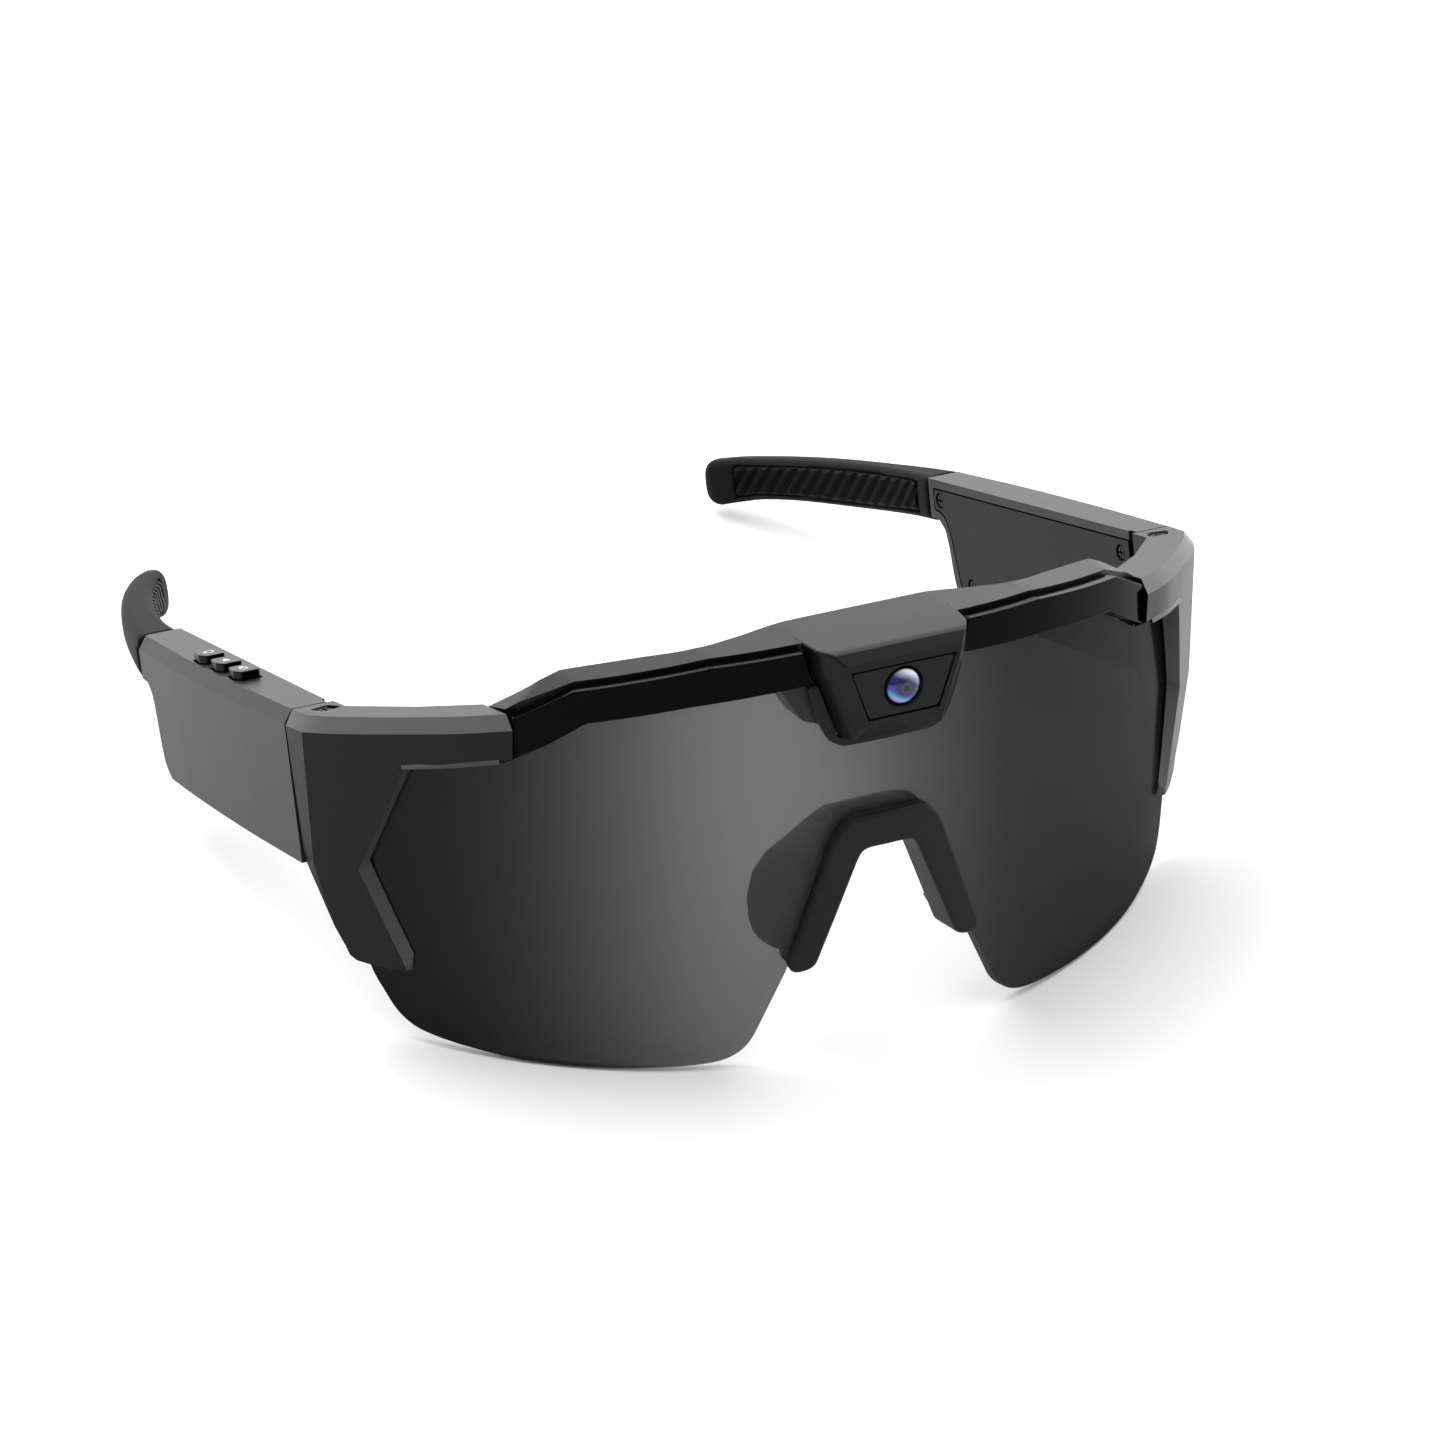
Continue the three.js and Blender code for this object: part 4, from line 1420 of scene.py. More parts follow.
@dataclass
class Camera:
    """The gasket, window plate, barrel and glass in the middle of the brow."""

    axis_v: float = 60.7
    face_w: float = -6.7
    glass_radius: float = 2.75
    glass_edge: float = 0.45
    glass_crown: float = 1.15

    def build(self, finishes: Finishes) -> None:
        """Sets the camera's visible pieces into the housing.

        Args:
            finishes: The materials.
        """
        half = [(13.1, 61.1), (11.7, 56.0), (9.8, 51.8), (7.6, 50.4)]
        flange = wrapped(softened(mirrored(half), 0.8), 2.0, GAP, 0.25)
        make_piece(
            "gasket",
            flange.cut(Brow().housing_body(GAP)),
            LENS,
            finishes.rubber,
            Dressing("front", "soft_rubber", ("camera_gasket",)),
            rounding=0.12,
        )
        centre = (0.0, self.face_w, self.axis_v)
        plate = Solid.prism(
            softened(mirrored([(8.6, 64.3), (5.8, 56.5)]), 0.6),
            "y",
            self.face_w + 0.1,
            self.face_w + 1.4,
        )
        cone = Solid.turned([(3.1, 3.0), (3.1, 0.5), (3.45, 0.05), (3.6, -2.0)], "y", centre)
        make_piece(
            "window_plate",
            plate.cut(cone),
            LENS,
            finishes.plate,
            Dressing("front", "matt_shell", ("camera_window",)),
            rounding=0.18,
        )
        r = self.glass_radius
        barrel = Solid.turned(
            [
                (2.2, 6.0),
                (3.25, 5.0),
                (3.25, 2.0),
                (3.0, 1.9),
                (3.0, 0.35),
                (2.93, 0.25),
                (r + 0.08, 0.25),
                (r + 0.04, 0.6),
                (r + 0.02, 1.8),
                (0.4, 2.2),
            ],
            "y",
            centre,
            56,
        )
        make_piece(
            "lens_barrel",
            barrel,
            LENS,
            finishes.trim,
            Dressing("front", "gloss_trim", ("camera_barrel",)),
            rounding=0,
        )
        edge, crown = self.glass_edge, self.glass_crown
        turns = [math.radians(7.5 * k) for k in range(1, 12)]
        cap = [(r, 1.6), (r, edge)]
        cap += [(r * math.cos(t), edge - crown * math.sin(t)) for t in turns]
        cap.append((0.02, edge - crown))
        middle = LENS @ Vector(centre)
        glass = CoatedCameraGlass("coated camera glass", tuple(middle), r).make()
        make_piece(
            "camera_glass",
            Solid.turned(cap, "y", centre, 56),
            LENS,
            glass,
            Dressing("front", "coated_glass", ("camera_lens",)),
            rounding=0,
        )


@dataclass
class NosePiece:
    """The soft rim round the nose cut-out and the saddle of two wings behind the lens."""

    # x and height of the wing's edge, from its foot to its top: behind, then beside the rim
    wing_out: tuple[tuple[float, float], ...] = (
        (14.6, 13.4),
        (15.8, 14.4),
        (16.4, 17.0),
        (16.6, 21.5),
        (15.6, 26.2),
        (13.2, 29.6),
        (9.6, 32.0),
        (6.2, 34.6),
    )
    wing_in: tuple[tuple[float, float], ...] = (
        (14.6, 16.0),
        (14.6, 16.8),
        (13.9, 18.4),
        (12.0, 21.2),
        (10.6, 25.0),
        (9.2, 28.6),
        (7.4, 32.2),
        (4.7, 33.4),
    )

    # depth, then heights of the shoulder, the crown and the underside
    arch: tuple[tuple[float, ...], ...] = (
        (3.0, 35.6, 37.6, 33.1),
        (5.5, 35.6, 37.4, 33.2),
        (8.4, 34.8, 36.2, 33.4),
    )
    wing_start: float = 3.4
    wing_end: float = 12.4
    wing_middle: float = 22.5

    def rim(self) -> Solid:
        """The rim, which grips the lens's edge.

        Returns:
            The rim, in the lens frame.
        """
        half = [(6.4, 38.2), (9.0, 35.2), (16.4, 14.8), (15.4, 13.4), (12.1, 13.9)]
        half += [(4.8, 31.6), (3.8, 32.6)]
        strip = wrapped(softened(mirrored(half), 1.4), 2.1, -4.4, 0.7)
        return strip.cut(wrapped(lens_outline(GAP), GAP, -LENS_THICKNESS - GAP, 0))

    def wing(self, side: Side) -> Solid:
        """One wing: a soft pad that starts along the rim and splays out and back.

        Args:
            side: Which side of the nose it is for.

        Returns:
            The wing, in the lens frame.
        """
        rings = []
        for k in range(9):
            t = k / 8
            ease = math.sin(t * math.pi / 2)
            outer, inner = [], []
            for (xo, vo), (xi, vi) in zip(self.wing_out, self.wing_in):
                w = self.wing_start + (self.wing_end - self.wing_start) * t
                x = xi + (xo - xi) * ease
                v = vi + (vo - vi) * ease
                wide = 1.5 - 0.35 * t
                shrink = 1.0 - 0.16 * t**3
                v = self.wing_middle + (v - self.wing_middle) * shrink
                outer.append((side.value * (x + wide / 2), w, v))
                inner.append((side.value * (x - wide), w, v))
            rings.append([*outer, *reversed(inner)])
        return Solid.skin(rings)

    def bridge(self) -> Solid:
        """The arch that joins the wings over the nose.

        Returns:
            The arch, in the lens frame.
        """
        rings = []
        for w, top, crown, foot in self.arch:
            half = [(6.0, crown), (8.8, top), (5.2, foot)]
            rings.append([(x, w, v) for x, v in softened(mirrored(half), 1.0)])
        return Solid.skin(rings)

    def build(self, finishes: Finishes) -> None:
        """Makes the rim and the saddle.

        Args:
            finishes: The materials.
        """
        make_piece(
            "nose_cutout_rim",
            self.rim(),
            LENS,
            finishes.rubber,
            Dressing("front", "soft_rubber", ("nose_rim",)),
            rounding=0,
        )
        saddle = self.wing(Side.LEFT).joined(self.wing(Side.RIGHT), self.bridge())
        saddle = saddle.cut(shell_layer(REACH / 2, -4.7, 60, 0, 60))
        make_piece(
            "nose_saddle",
            saddle,
            LENS,
            finishes.pad,
            Dressing("front", "soft_rubber", ("nose_pad",)),
            rounding=0.5,
            angle=35,
        )


@dataclass
class SideShield:
    """The hood and wrap-round cheek at one end of the front, with the hinge block behind it."""

    # height, then x and y round the outer face, then how far the back is drawn in
    levels: tuple[tuple[float, tuple[tuple[float, float], ...], float], ...] = (
        (
            58.0,
            ((54.4, -8.4), (60, -4.1), (65, 1), (70, 6.8), (74.6, 12.7), (76.6, 16.2), (77, 22.5)),
            0,
        ),
        (
            55.7,
            (
                (54.4, -10.1),
                (60.9, -5.2),
                (66, 0.1),
                (71.1, 5.9),
                (75.9, 12),
                (78.1, 15.9),
                (78.4, 22.5),
            ),
            0,
        ),
        (
            34.0,
            ((54.4, -4.3), (61, 1.4), (66, 6.6), (71, 12.6), (75.3, 17.7), (77.4, 20), (78, 22.5)),
            6,
        ),
        (
            16.0,
            (
                (54.4, 0.9),
                (60.5, 6.1),
                (65.5, 11.4),
                (69.5, 16.1),
                (72.3, 19.9),
                (73.3, 21.4),
                (73.5, 22.5),
            ),
            10,
        ),
    )
    inner: tuple[tuple[float, float], ...] = ((70.2, 22.5), (70.2, 17.2), (62.2, 7.3), (54.4, 0.4))
    foot: tuple[tuple[float, float], ...] = (
        (21.9, 100),
        (60, 100),
        (60, -20),
        (-20, -20),
        (-20, 16.2),
        (13.4, 16.2),
        (16.6, 16.6),
        (19.6, 17.6),
        (20.4, 18.5),
        (21.9, 35),
    )
    screw_at: tuple[float, float] = (73.0, 18.4)
    rib_z: float = 50.9

    def blank(self) -> Solid:
        """The outer skin of the moulding, from its levels.

        Returns:
            The body, in the worn frame.
        """
        rings = []
        for z, outer, inset in self.levels:
            front = [(p.x, p.y) for p in curve_through(outer[:5], 7)]
            behind = [(x, max(y + inset, outer[0][1] + 2)) for x, y in self.inner]
            rings.append([(x, y, z) for x, y in [*front, *outer[5:], *behind]])
        return Solid.skin(rings)

    def window(self) -> Solid:
        """The chevron window's cutter, in the lens frame, wider in front than behind for its bevel.

        Returns:
            The cutter.
        """
        corners = [
            (on_lens(40, 0, 49.9), on_lens(40, 3.2, 52.4)),
            ((56.6, 20.7, 48.9), (57.9, 17.5, 51.2)),
            ((65.2, 28.9, 46.7), (67.1, 26.4, 48.2)),
            ((69.9, 34.5, 30.4), (72.3, 33.9, 29.2)),
            ((65.4, 29.1, 16.4), (67.0, 29.1, 13.7)),
            ((65.9, 29.9, 8.0), (67.4, 29.6, 5.0)),
            (on_lens(40, 0, 4.5), on_lens(40, 3.2, 0)),
        ]
        rings: list[list[Vector]] = [[], []]
        for (near, far), (next_near, next_far) in zip(corners, [*corners[1:], corners[0]]):
            for k in range(8):
                a = Vector(near).lerp(Vector(next_near), k / 8)
                b = Vector(far).lerp(Vector(next_far), k / 8)
                rings[0].append(a - (b - a) * 0.4)
                rings[1].append(a + (b - a) * 1.8)
        return Solid.skin(rings)

    def hinge_room(self) -> Solid:
        """The space that the hinge knuckles turn in."""
        knuckle = Solid.rod("z", (71, 22, 0), 2.2, 37.6, 53.9)
        return knuckle.joined(Solid.block((71.2, 16.5, 37.6), (72.9, 30.1, 53.9)))

    def moulding(self) -> Solid:
        """The whole left-hand moulding.

        Returns:
            The moulding, in the worn frame.
        """
        behind_lens = shell_layer(GAP, -70, LENS_HALF_ARC + 1, -20, 90).placed(LEAN)
        behind_lens = behind_lens.kept_in(Solid.block((-REACH, -REACH, -REACH), (REACH, REACH, 54.9)))
        x, y = self.screw_at
        recess = [(x - 2.4, y - 1.1), (x + 0.8, y - 2.0), (x + 2.3, y + 0.9), (x - 1.0, y + 1.9)]
        return self.blank().cut(
            behind_lens,
            self.window().placed(LEAN),
            Solid.prism(list(self.foot), "x", -REACH, REACH),
            self.hinge_room(),
            Solid.prism(softened(recess, 0.9), "z", 57.2, 60),
            Solid.rod("z", (x, y, 0), 1.5, 56.8, 58),
            Solid.rod("z", (x, y, 0), 0.8, 53.6, 58),
            Solid.block((-REACH, -REACH, -REACH), (SEAM_X + 0.1, REACH, REACH)),
        )

    def rib(self) -> Solid:
        """The slim ledge along the hood's lower edge, over the window.

        Returns:
            The ledge, in the worn frame.
        """
        rings = []
        for x in (56.2, 58.0, 60.0, 62.0, 64.0, 66.0, 67.6, 68.6):
            z = self.rib_z + 0.05 - 0.04 * (x - 56)
            y = self.front_at(x, z)
            thin = 0.3 if x < 68 else 0.05
            lower = [(x, y + 0.6, z - 0.5), (x, y - thin, z - 0.5)]
            rings.append([*lower, (x, y + 0.02, z + 0.5), (x, y + 0.6, z + 0.5)])
        return Solid.skin(rings)

    def front_at(self, x: float, z: float) -> float:
        """How far back the front skin is, between the second level and the third.

        Args:
            x: How far to the left.
            z: How high.

        Returns:
            Its y in the worn frame.
        """
        (high, upper, _), (low, lower, _) = self.levels[1:3]
        share = (high - z) / (high - low)
        outline = [
            (a[0] + (b[0] - a[0]) * share, a[1] + (b[1] - a[1]) * share)
            for a, b in zip(upper[:5], lower[:5])
        ]
        return looked_up(outline, x)

    @staticmethod
    def gets_painted_highlight(centre: Vector, normal: Vector) -> bool:
        """Tells whether a face is on the window's bevel, the ledge or the hood's edge, on either side.

        Args:
            centre: The face's centre, in millimetres.
            normal: Its normal.

        Returns:
            Whether it gets the lighter bevel colour, a painted highlight.
        """
        inward = -normal.x * math.copysign(1.0, centre.x)
        upper = inward > 0.22 and normal.y < -0.1
        lower = inward > -0.42 and normal.y < -0.85
        ledge = abs(centre.z - SideShield.rib_z) < 0.6 and 0.15 < normal.z < 0.55
        hood_edge = centre.z > 54.0 and 0.5 < normal.z < 0.85
        return hood_edge or abs(centre.x) > 56.0 and (upper or lower or ledge)

    def build(self, finishes: Finishes) -> None:
        """Makes both shields and their screws.

        Args:
            finishes: The materials.
        """
        left = self.moulding().joined(self.rib())
        for side in Side:
            make_piece(
                f"shield_{side.label}",
                left.placed(side.flip()),
                WORN,
                finishes.front,
                Dressing("front", "matt_shell", (f"side_shield_{side.label}",)),
                rounding=0.2,
                # the bevels, the ledge and the hood's edge get a lighter colour, a painted highlight
                accent=(finishes.bevel, self.gets_painted_highlight),
            )
            x, y = self.screw_at
            turn = Matrix.Translation((x, y, 57.75))
            make_piece(
                f"top_screw_{side.label}",
                CrossScrew(2.0, 1.38).body().placed(side.flip() @ turn),
                WORN,
                finishes.screw,
                Dressing("front", "black_screw", (f"shield_screw_{side.label}",)),
                rounding=0.05,
            )


@dataclass
class CrossScrew:
    """A small cross-head screw with its head's face at height 0, pointing down."""

    shank: float
    head_radius: float = 1.15

    def body(self) -> Solid:
        """Turns the screw and presses the cross into its head.

        Returns:
            The screw, with its head up the z axis.
        """
        r = self.head_radius
        profile = [(0.6, -0.8 - self.shank), (0.6, -0.8), (r, -0.8), (r, -0.25)]
        profile += [(r * 0.93, -0.1), (r * 0.75, -0.02), (0.05, 0.0)]
        arm, width = r * 0.72, r * 0.16
        return Solid.turned(profile, "z", (0, 0, 0), 36).cut(
            Solid.block((-arm, -width, -0.45), (arm, width, 1)),
            Solid.block((-width, -arm, -0.45), (width, arm, 1)),
        )


# ---- the temples ----
@dataclass
class Temple:
    """One folding temple: housing, cover, screws, rubber tip and grip."""

    front_y: float = 22.3
    rear_y: float = 92.0
    cap_z: float = 58.0
    wall: float = 1.5
    cover: float = 1.3
    outer: tuple[tuple[float, float], ...] = ((22.3, 78.4), (45.0, 78.6), (70.0, 78.1), (92.0, 76.9))
    side_view: tuple[tuple[float, float], ...] = (
        (22.3, 33.9),
        (82.0, 36.0),
        (84.9, 38.6),
        (87.2, 48.8),
        (89.2, 50.9),
        (92.0, 51.0),
        (92.0, 60.0),
        (22.3, 60.0),
    )
    screws: tuple[tuple[float, float, float], ...] = (
        (27.4, 53.9, 1.6),
        (88.4, 54.4, 1.4),
        (79.6, 40.3, 1.6),
    )
    # y, x, half width, foot, head, and the way it heads inwards in degrees
    tips: tuple[tuple[float, ...], ...] = (
        (92.3, 73.1, 3.75, 50.1, 58.0, 0.0),
        (100.0, 71.9, 3.35, 50.0, 58.1, 11.0),
        (110.0, 69.7, 3.1, 49.8, 58.1, 14.0),
        (121.0, 66.6, 3.0, 49.8, 58.0, 18.0),
        (130.0, 63.4, 2.9, 49.9, 57.8, 22.0),
        (138.0, 59.8, 2.8, 49.7, 57.5, 26.0),
        (142.5, 57.4, 2.7, 49.1, 57.3, 29.0),
        (146.4, 55.1, 2.5, 48.4, 56.9, 32.0),
    )
    core_room: tuple[float, float, float] = (0.95, 52.9, 56.1)  # half width, foot and head
    hole_radius: float = 0.75
    post_radius: float = 1.5
    seat_radius: float = 1.4
    pad_margin: float = 1.1
    pad_depth: float = 0.9
    grip_margin: float = 1.3
    grip_base: float = 0.55
    rib_height: float = 0.65
    rib_pitch: float = 3.1
    rib_slant: float = 0.9
    core: tuple[tuple[float, float], ...] = (
        (86.6, 74.2),
        (92.0, 73.4),
        (104.0, 71.1),
        (121.0, 66.6),
        (132.0, 62.4),
    )

    def inner_x(self, y: float) -> float:
        """Where the temple's head side is."""
        return 70.8 - 0.0204 * (y - self.front_y)

    def stations(self) -> list[tuple[float, float, float]]:
        """Places along the temple as y, inner x and outer x, with the outer face running smoothly."""
        return [(y, self.inner_x(y), x) for y, x in table_curve(self.outer, 8)]

    def core_bar(self, half: float, low: float, high: float) -> Solid:
        """A bar along the tip's core line.

        Args:
            half: Half its width.
            low: Its foot.
            high: Its top.

        Returns:
            The bar, in the worn frame.
        """
        return Solid.skin(
            [
                [(x - half, y, low), (x + half, y, low), (x + half, y, high), (x - half, y, high)]
                for y, x in self.core
            ]
        )

    def chamber_view(self, inset: float) -> Outline:
        """Side view of the room inside the housing, drawn in by an inset.

        Args:
            inset: How far to draw it in.

        Returns:
            Corners as y and z.
        """
        i = inset
        corners = [
            (23.8 + i, 35.4 + i),
            (81.6 - i, 37.5 + i),
            (83.6 - i, 39.8 + i),
            (85.6 - i, 48.6 + i),
            (87.2 - i, 51.4 + i),
            (89 - i, 52.3 + i),
            (90.6 - i, 52.4 + i),
            (90.6 - i, 56.5 - i),
            (23.8 + i, 56.5 - i),
        ]
        return softened(corners, 0.7, 4)

    def blank(self, side_inset: float, inner_out: float) -> Solid:
        """The temple's long body with its bevelled upper outer edge.

        Args:
            side_inset: How far the outer face is drawn in.
            inner_out: How far the inner face is moved out, towards the head.

        Returns:
            The body, in the worn frame.
        """
        rings = []
        for y, inner, outer in self.stations():
            x0, x1 = inner - inner_out, outer - side_inset
            rings.append(
                [(x0, y, 25), (x1, y, 25), (x1, y, 55.9), (x1 - 1.5, y, self.cap_z), (x0, y, self.cap_z)]
            )
        return Solid.skin(rings)

    def housing(self, side: Side) -> Solid:
        """The housing, modelled on the left.

        Args:
            side: Which side it is for: the openings differ.

        Returns:
            The housing, still on the left.
        """
        outline = [self.side_view[0], *_open_curve(self.side_view[1:5]), *self.side_view[5:]]
        room = self.blank(self.wall, 10).kept_in(Solid.prism(self.chamber_view(0), "x", 0, REACH))
        port = ((74.1, 38.6), (75.7, 50.6)) if side is Side.LEFT else ((73.5, 39.4), (77.1, 49.2))
        (x0, z0), (x1, z1) = port
        mouth = [(x0, z0), (x1, z0), (x1, z1), (x0, z1)]
        shell = self.blank(0, 0).kept_in(Solid.prism(outline, "x", 0, REACH)).cut(
            room.kept_in(Solid.block((-REACH, 0, 0), (REACH, REACH, 56.5))),
            SideShield().hinge_room(),
            Solid.block((60, 20, 20), (71.3, 24.2, 60)),
            Solid.prism(softened(mouth, 0.6), "y", 20, 25),
            self.core_bar(*self.core_room),
        )
        for y, z, _ in self.screws:
            if y < 85:
                start = self.inner_x(y) + self.cover + GAP
                end = looked_up(self.outer, y) - 0.7
                post = Solid.rod("x", (0, y, z), self.post_radius, start, end)
                hole = Solid.rod("x", (0, y, z), self.hole_radius, start - 1, start + 2.6)
                shell = shell.joined(post).cut(hole)
        if side is Side.RIGHT:
            shell = shell.cut(*[Buttons().prism(k, GAP, 56, 60) for k in range(3)])
        return shell

    def cover_plate(self) -> Solid:
        """The cover on the head side, with its screw seats.

        Returns:
            The cover, in the worn frame.
        """
        rings = [
            [
                (inner, y, 25),
                (inner + self.cover, y, 25),
                (inner + self.cover, y, 60),
                (inner, y, 60),
            ]
            for y, inner, _ in self.stations()
        ]
        plate = Solid.skin(rings).kept_in(Solid.prism(self.chamber_view(GAP), "x", 0, REACH))
        for y, z, _ in self.screws:
            seat = self.inner_x(y)
            plate = plate.cut(
                Solid.rod("x", (0, y, z), self.seat_radius, 60, seat + 0.9),
                Solid.rod("x", (0, y, z), self.hole_radius, 60, 75),
            )
        return plate.cut(SideShield().hinge_room(), Solid.block((60, 20, 30), (73.2, 24.6, 60)))

    def tip_body(self) -> Solid:
        """The rubber tip, drooping and curling in, with a recess for the grip.

        Returns:
            The tip, in the worn frame.
        """
        rings = []
        tip_y = self.tips[0][0]
        rows = table_curve(self.tips, 6)
        y, x, half, foot, head, heading = rows[-1]
        angle, middle = math.radians(heading), (foot + head) / 2
        for grow, step in ((0.97, 0.8), (0.88, 1.6), (0.72, 2.3), (0.5, 2.8), (0.25, 3.1)):
            tall = (head - foot) / 2 * (0.25 + 0.75 * grow)
            spot = [y + step * math.cos(angle), x - step * math.sin(angle)]
            rows.append([*spot, half * grow, middle - tall, middle + tall, heading])
        for y, x, half, foot, head, heading in rows:
            angle = math.radians(heading)
            middle, tall = (foot + head) / 2, (head - foot) / 2
            ring = []
            for k in range(36):
                turn = 2 * math.pi * k / 36
                boxy = 0.4 + 0.32 * min(1.0, max(0.0, (y - tip_y) / 16.0))
                d = half * math.copysign(abs(math.cos(turn)) ** boxy, math.cos(turn))
                h = tall * math.copysign(abs(math.sin(turn)) ** boxy, math.sin(turn))
                out = x + d * math.cos(angle)
                # the housing's bevel runs on into the rubber and fades out
                bevel_from = self.outer[-1][1] - 1.5 + 0.3 * (y - tip_y)
                top = self.cap_z - 1.4 * max(0.0, out - bevel_from)
                ring.append((out, y + d * math.sin(angle), min(middle + h, top)))
            rings.append(ring)
        return Solid.skin(rings).cut(self.core_bar(*self.core_room), self.pad_room())

    def pad_frame(self) -> list[list[float]]:
        """The tip's rows that the grip covers."""
        return table_curve(self.tips[:7], 8)[4:]

    def pad_room(self) -> Solid:
        """The recess in the tip that the grip lies in.

        Returns:
            The cutter for it.
        """
        rings = []
        for y, x, half, foot, head, heading in self.pad_frame():
            angle = math.radians(heading)
            ring = []
            deep, low, high = half - self.pad_depth, foot + self.pad_margin, head - self.pad_margin
            for d, z in ((deep, low), (half + 2, low), (half + 2, high), (deep, high)):
                ring.append((x - d * math.cos(angle), y - d * math.sin(angle), z))
            rings.append(ring)
        return Solid.skin(rings)

    def grip(self) -> Solid:
        """The grip strip: slanting ribs on a thin backing.

        Returns:
            The strip, in the worn frame.
        """
        rows = table_curve(self.tips[:7], 44)[27:-3]
        across_steps = 24
        build = bmesh.new()
        faces: list[list[bmesh.types.BMVert]] = []
        backs: list[list[bmesh.types.BMVert]] = []
        along = 0.0
        last: Vector | None = None
        for y, x, half, foot, head, heading in rows:
            here = Vector((x, y))
            along += (here - last).length if last is not None else 0.0
            last = here
            angle = math.radians(heading)
            front, rear = [], []
            for k in range(across_steps + 1):
                share = k / across_steps
                z = foot + self.grip_margin + (head - foot - 2 * self.grip_margin) * share
                phase = (along + self.rib_slant * (z - foot)) / self.rib_pitch
                rib = 0.5 + 0.5 * math.cos(2 * math.pi * phase)
                rib = min(1.0, 1.7 * rib)
                edge = min(1.0, 8 * share, 8 * (1 - share))
                d = half - self.grip_base + self.rib_height * rib * edge
                front.append(build.verts.new((x - d * math.cos(angle), y - d * math.sin(angle), z)))
                d = half - self.grip_base - 0.1
                rear.append(build.verts.new((x - d * math.cos(angle), y - d * math.sin(angle), z)))
            faces.append(front)
            backs.append(rear)
        _close_sheet(build, faces, backs)
        return Solid.from_bmesh(build)

    def build(self, finishes: Finishes) -> None:
        """Makes both temples.

        Args:
            finishes: The materials.
        """
        plate, tip, grip = self.cover_plate(), self.tip_body(), self.grip()
        for side in Side:
            ride, name, flip = side.temple, side.label, side.flip()
            make_piece(
                f"housing_{name}",
                self.housing(side).placed(flip),
                WORN,
                finishes.temple,
                Dressing(ride, "matt_shell", (f"temple_housing_{name}",)),
                rounding=0.25,
            )
            make_piece(
                f"cover_{name}",
                plate.placed(flip),
                WORN,
                finishes.cover,
                Dressing(ride, "matt_shell", (f"temple_cover_{name}",)),
                rounding=0.12,
            )
            make_piece(
                f"tip_{name}",
                tip.placed(flip),
                WORN,
                finishes.tip,
                Dressing(ride, "soft_rubber", (f"temple_tip_{name}",)),
                rounding=0.15,
                angle=50,
            )
            make_piece(
                f"grip_{name}",
                grip.placed(flip),
                WORN,
                finishes.grip,
                Dressing(ride, "soft_rubber", (f"tip_grip_{name}",)),
                rounding=0,
            )
            for k, (y, z, shank) in enumerate(self.screws, 1):
                lay = Matrix.Translation((self.inner_x(y) + 0.1, y, z)) @ Matrix.Rotation(
                    -math.pi / 2, 4, "Y"
                )
                make_piece(
                    f"side_screw_{k}_{name}",
                    CrossScrew(shank).body().placed(flip @ lay),
                    WORN,
                    finishes.screw,
                    Dressing(ride, "black_screw", (f"cover_screw_{k}_{name}",)),
                    rounding=0.05,
                )


def _open_curve(points: Sequence[tuple[float, float]]) -> Outline:
    """Runs a smooth curve through points and gives it as an outline's stretch."""
    return [(p.x, p.y) for p in curve_through(points, 6)]


def _close_sheet(
    build: bmesh.types.BMesh,
    front: list[list[bmesh.types.BMVert]],
    rear: list[list[bmesh.types.BMVert]],
) -> None:
    """Faces a front grid and a rear grid of vertices and closes the edges between them.

    Args:
        build: The bmesh that holds them.
        front: Rows of vertices on the face.
        rear: Rows of vertices on the back.
    """
    for grid in (front, rear):
        for a, b in zip(grid, grid[1:]):
            for k in range(len(a) - 1):
                build.faces.new((a[k], a[k + 1], b[k + 1], b[k]))
    for a, b, c, d in zip(front, front[1:], rear, rear[1:]):
        build.faces.new((a[0], b[0], d[0], c[0]))
        build.faces.new((a[-1], b[-1], d[-1], c[-1]))
    for f, r in ((front[0], rear[0]), (front[-1], rear[-1])):
        for k in range(len(f) - 1):
            build.faces.new((f[k], f[k + 1], r[k + 1], r[k]))


class Icon(Enum):
    """The generic sign on a button."""

    CAMERA = 1
    PLAY = 2
    POWER = 3


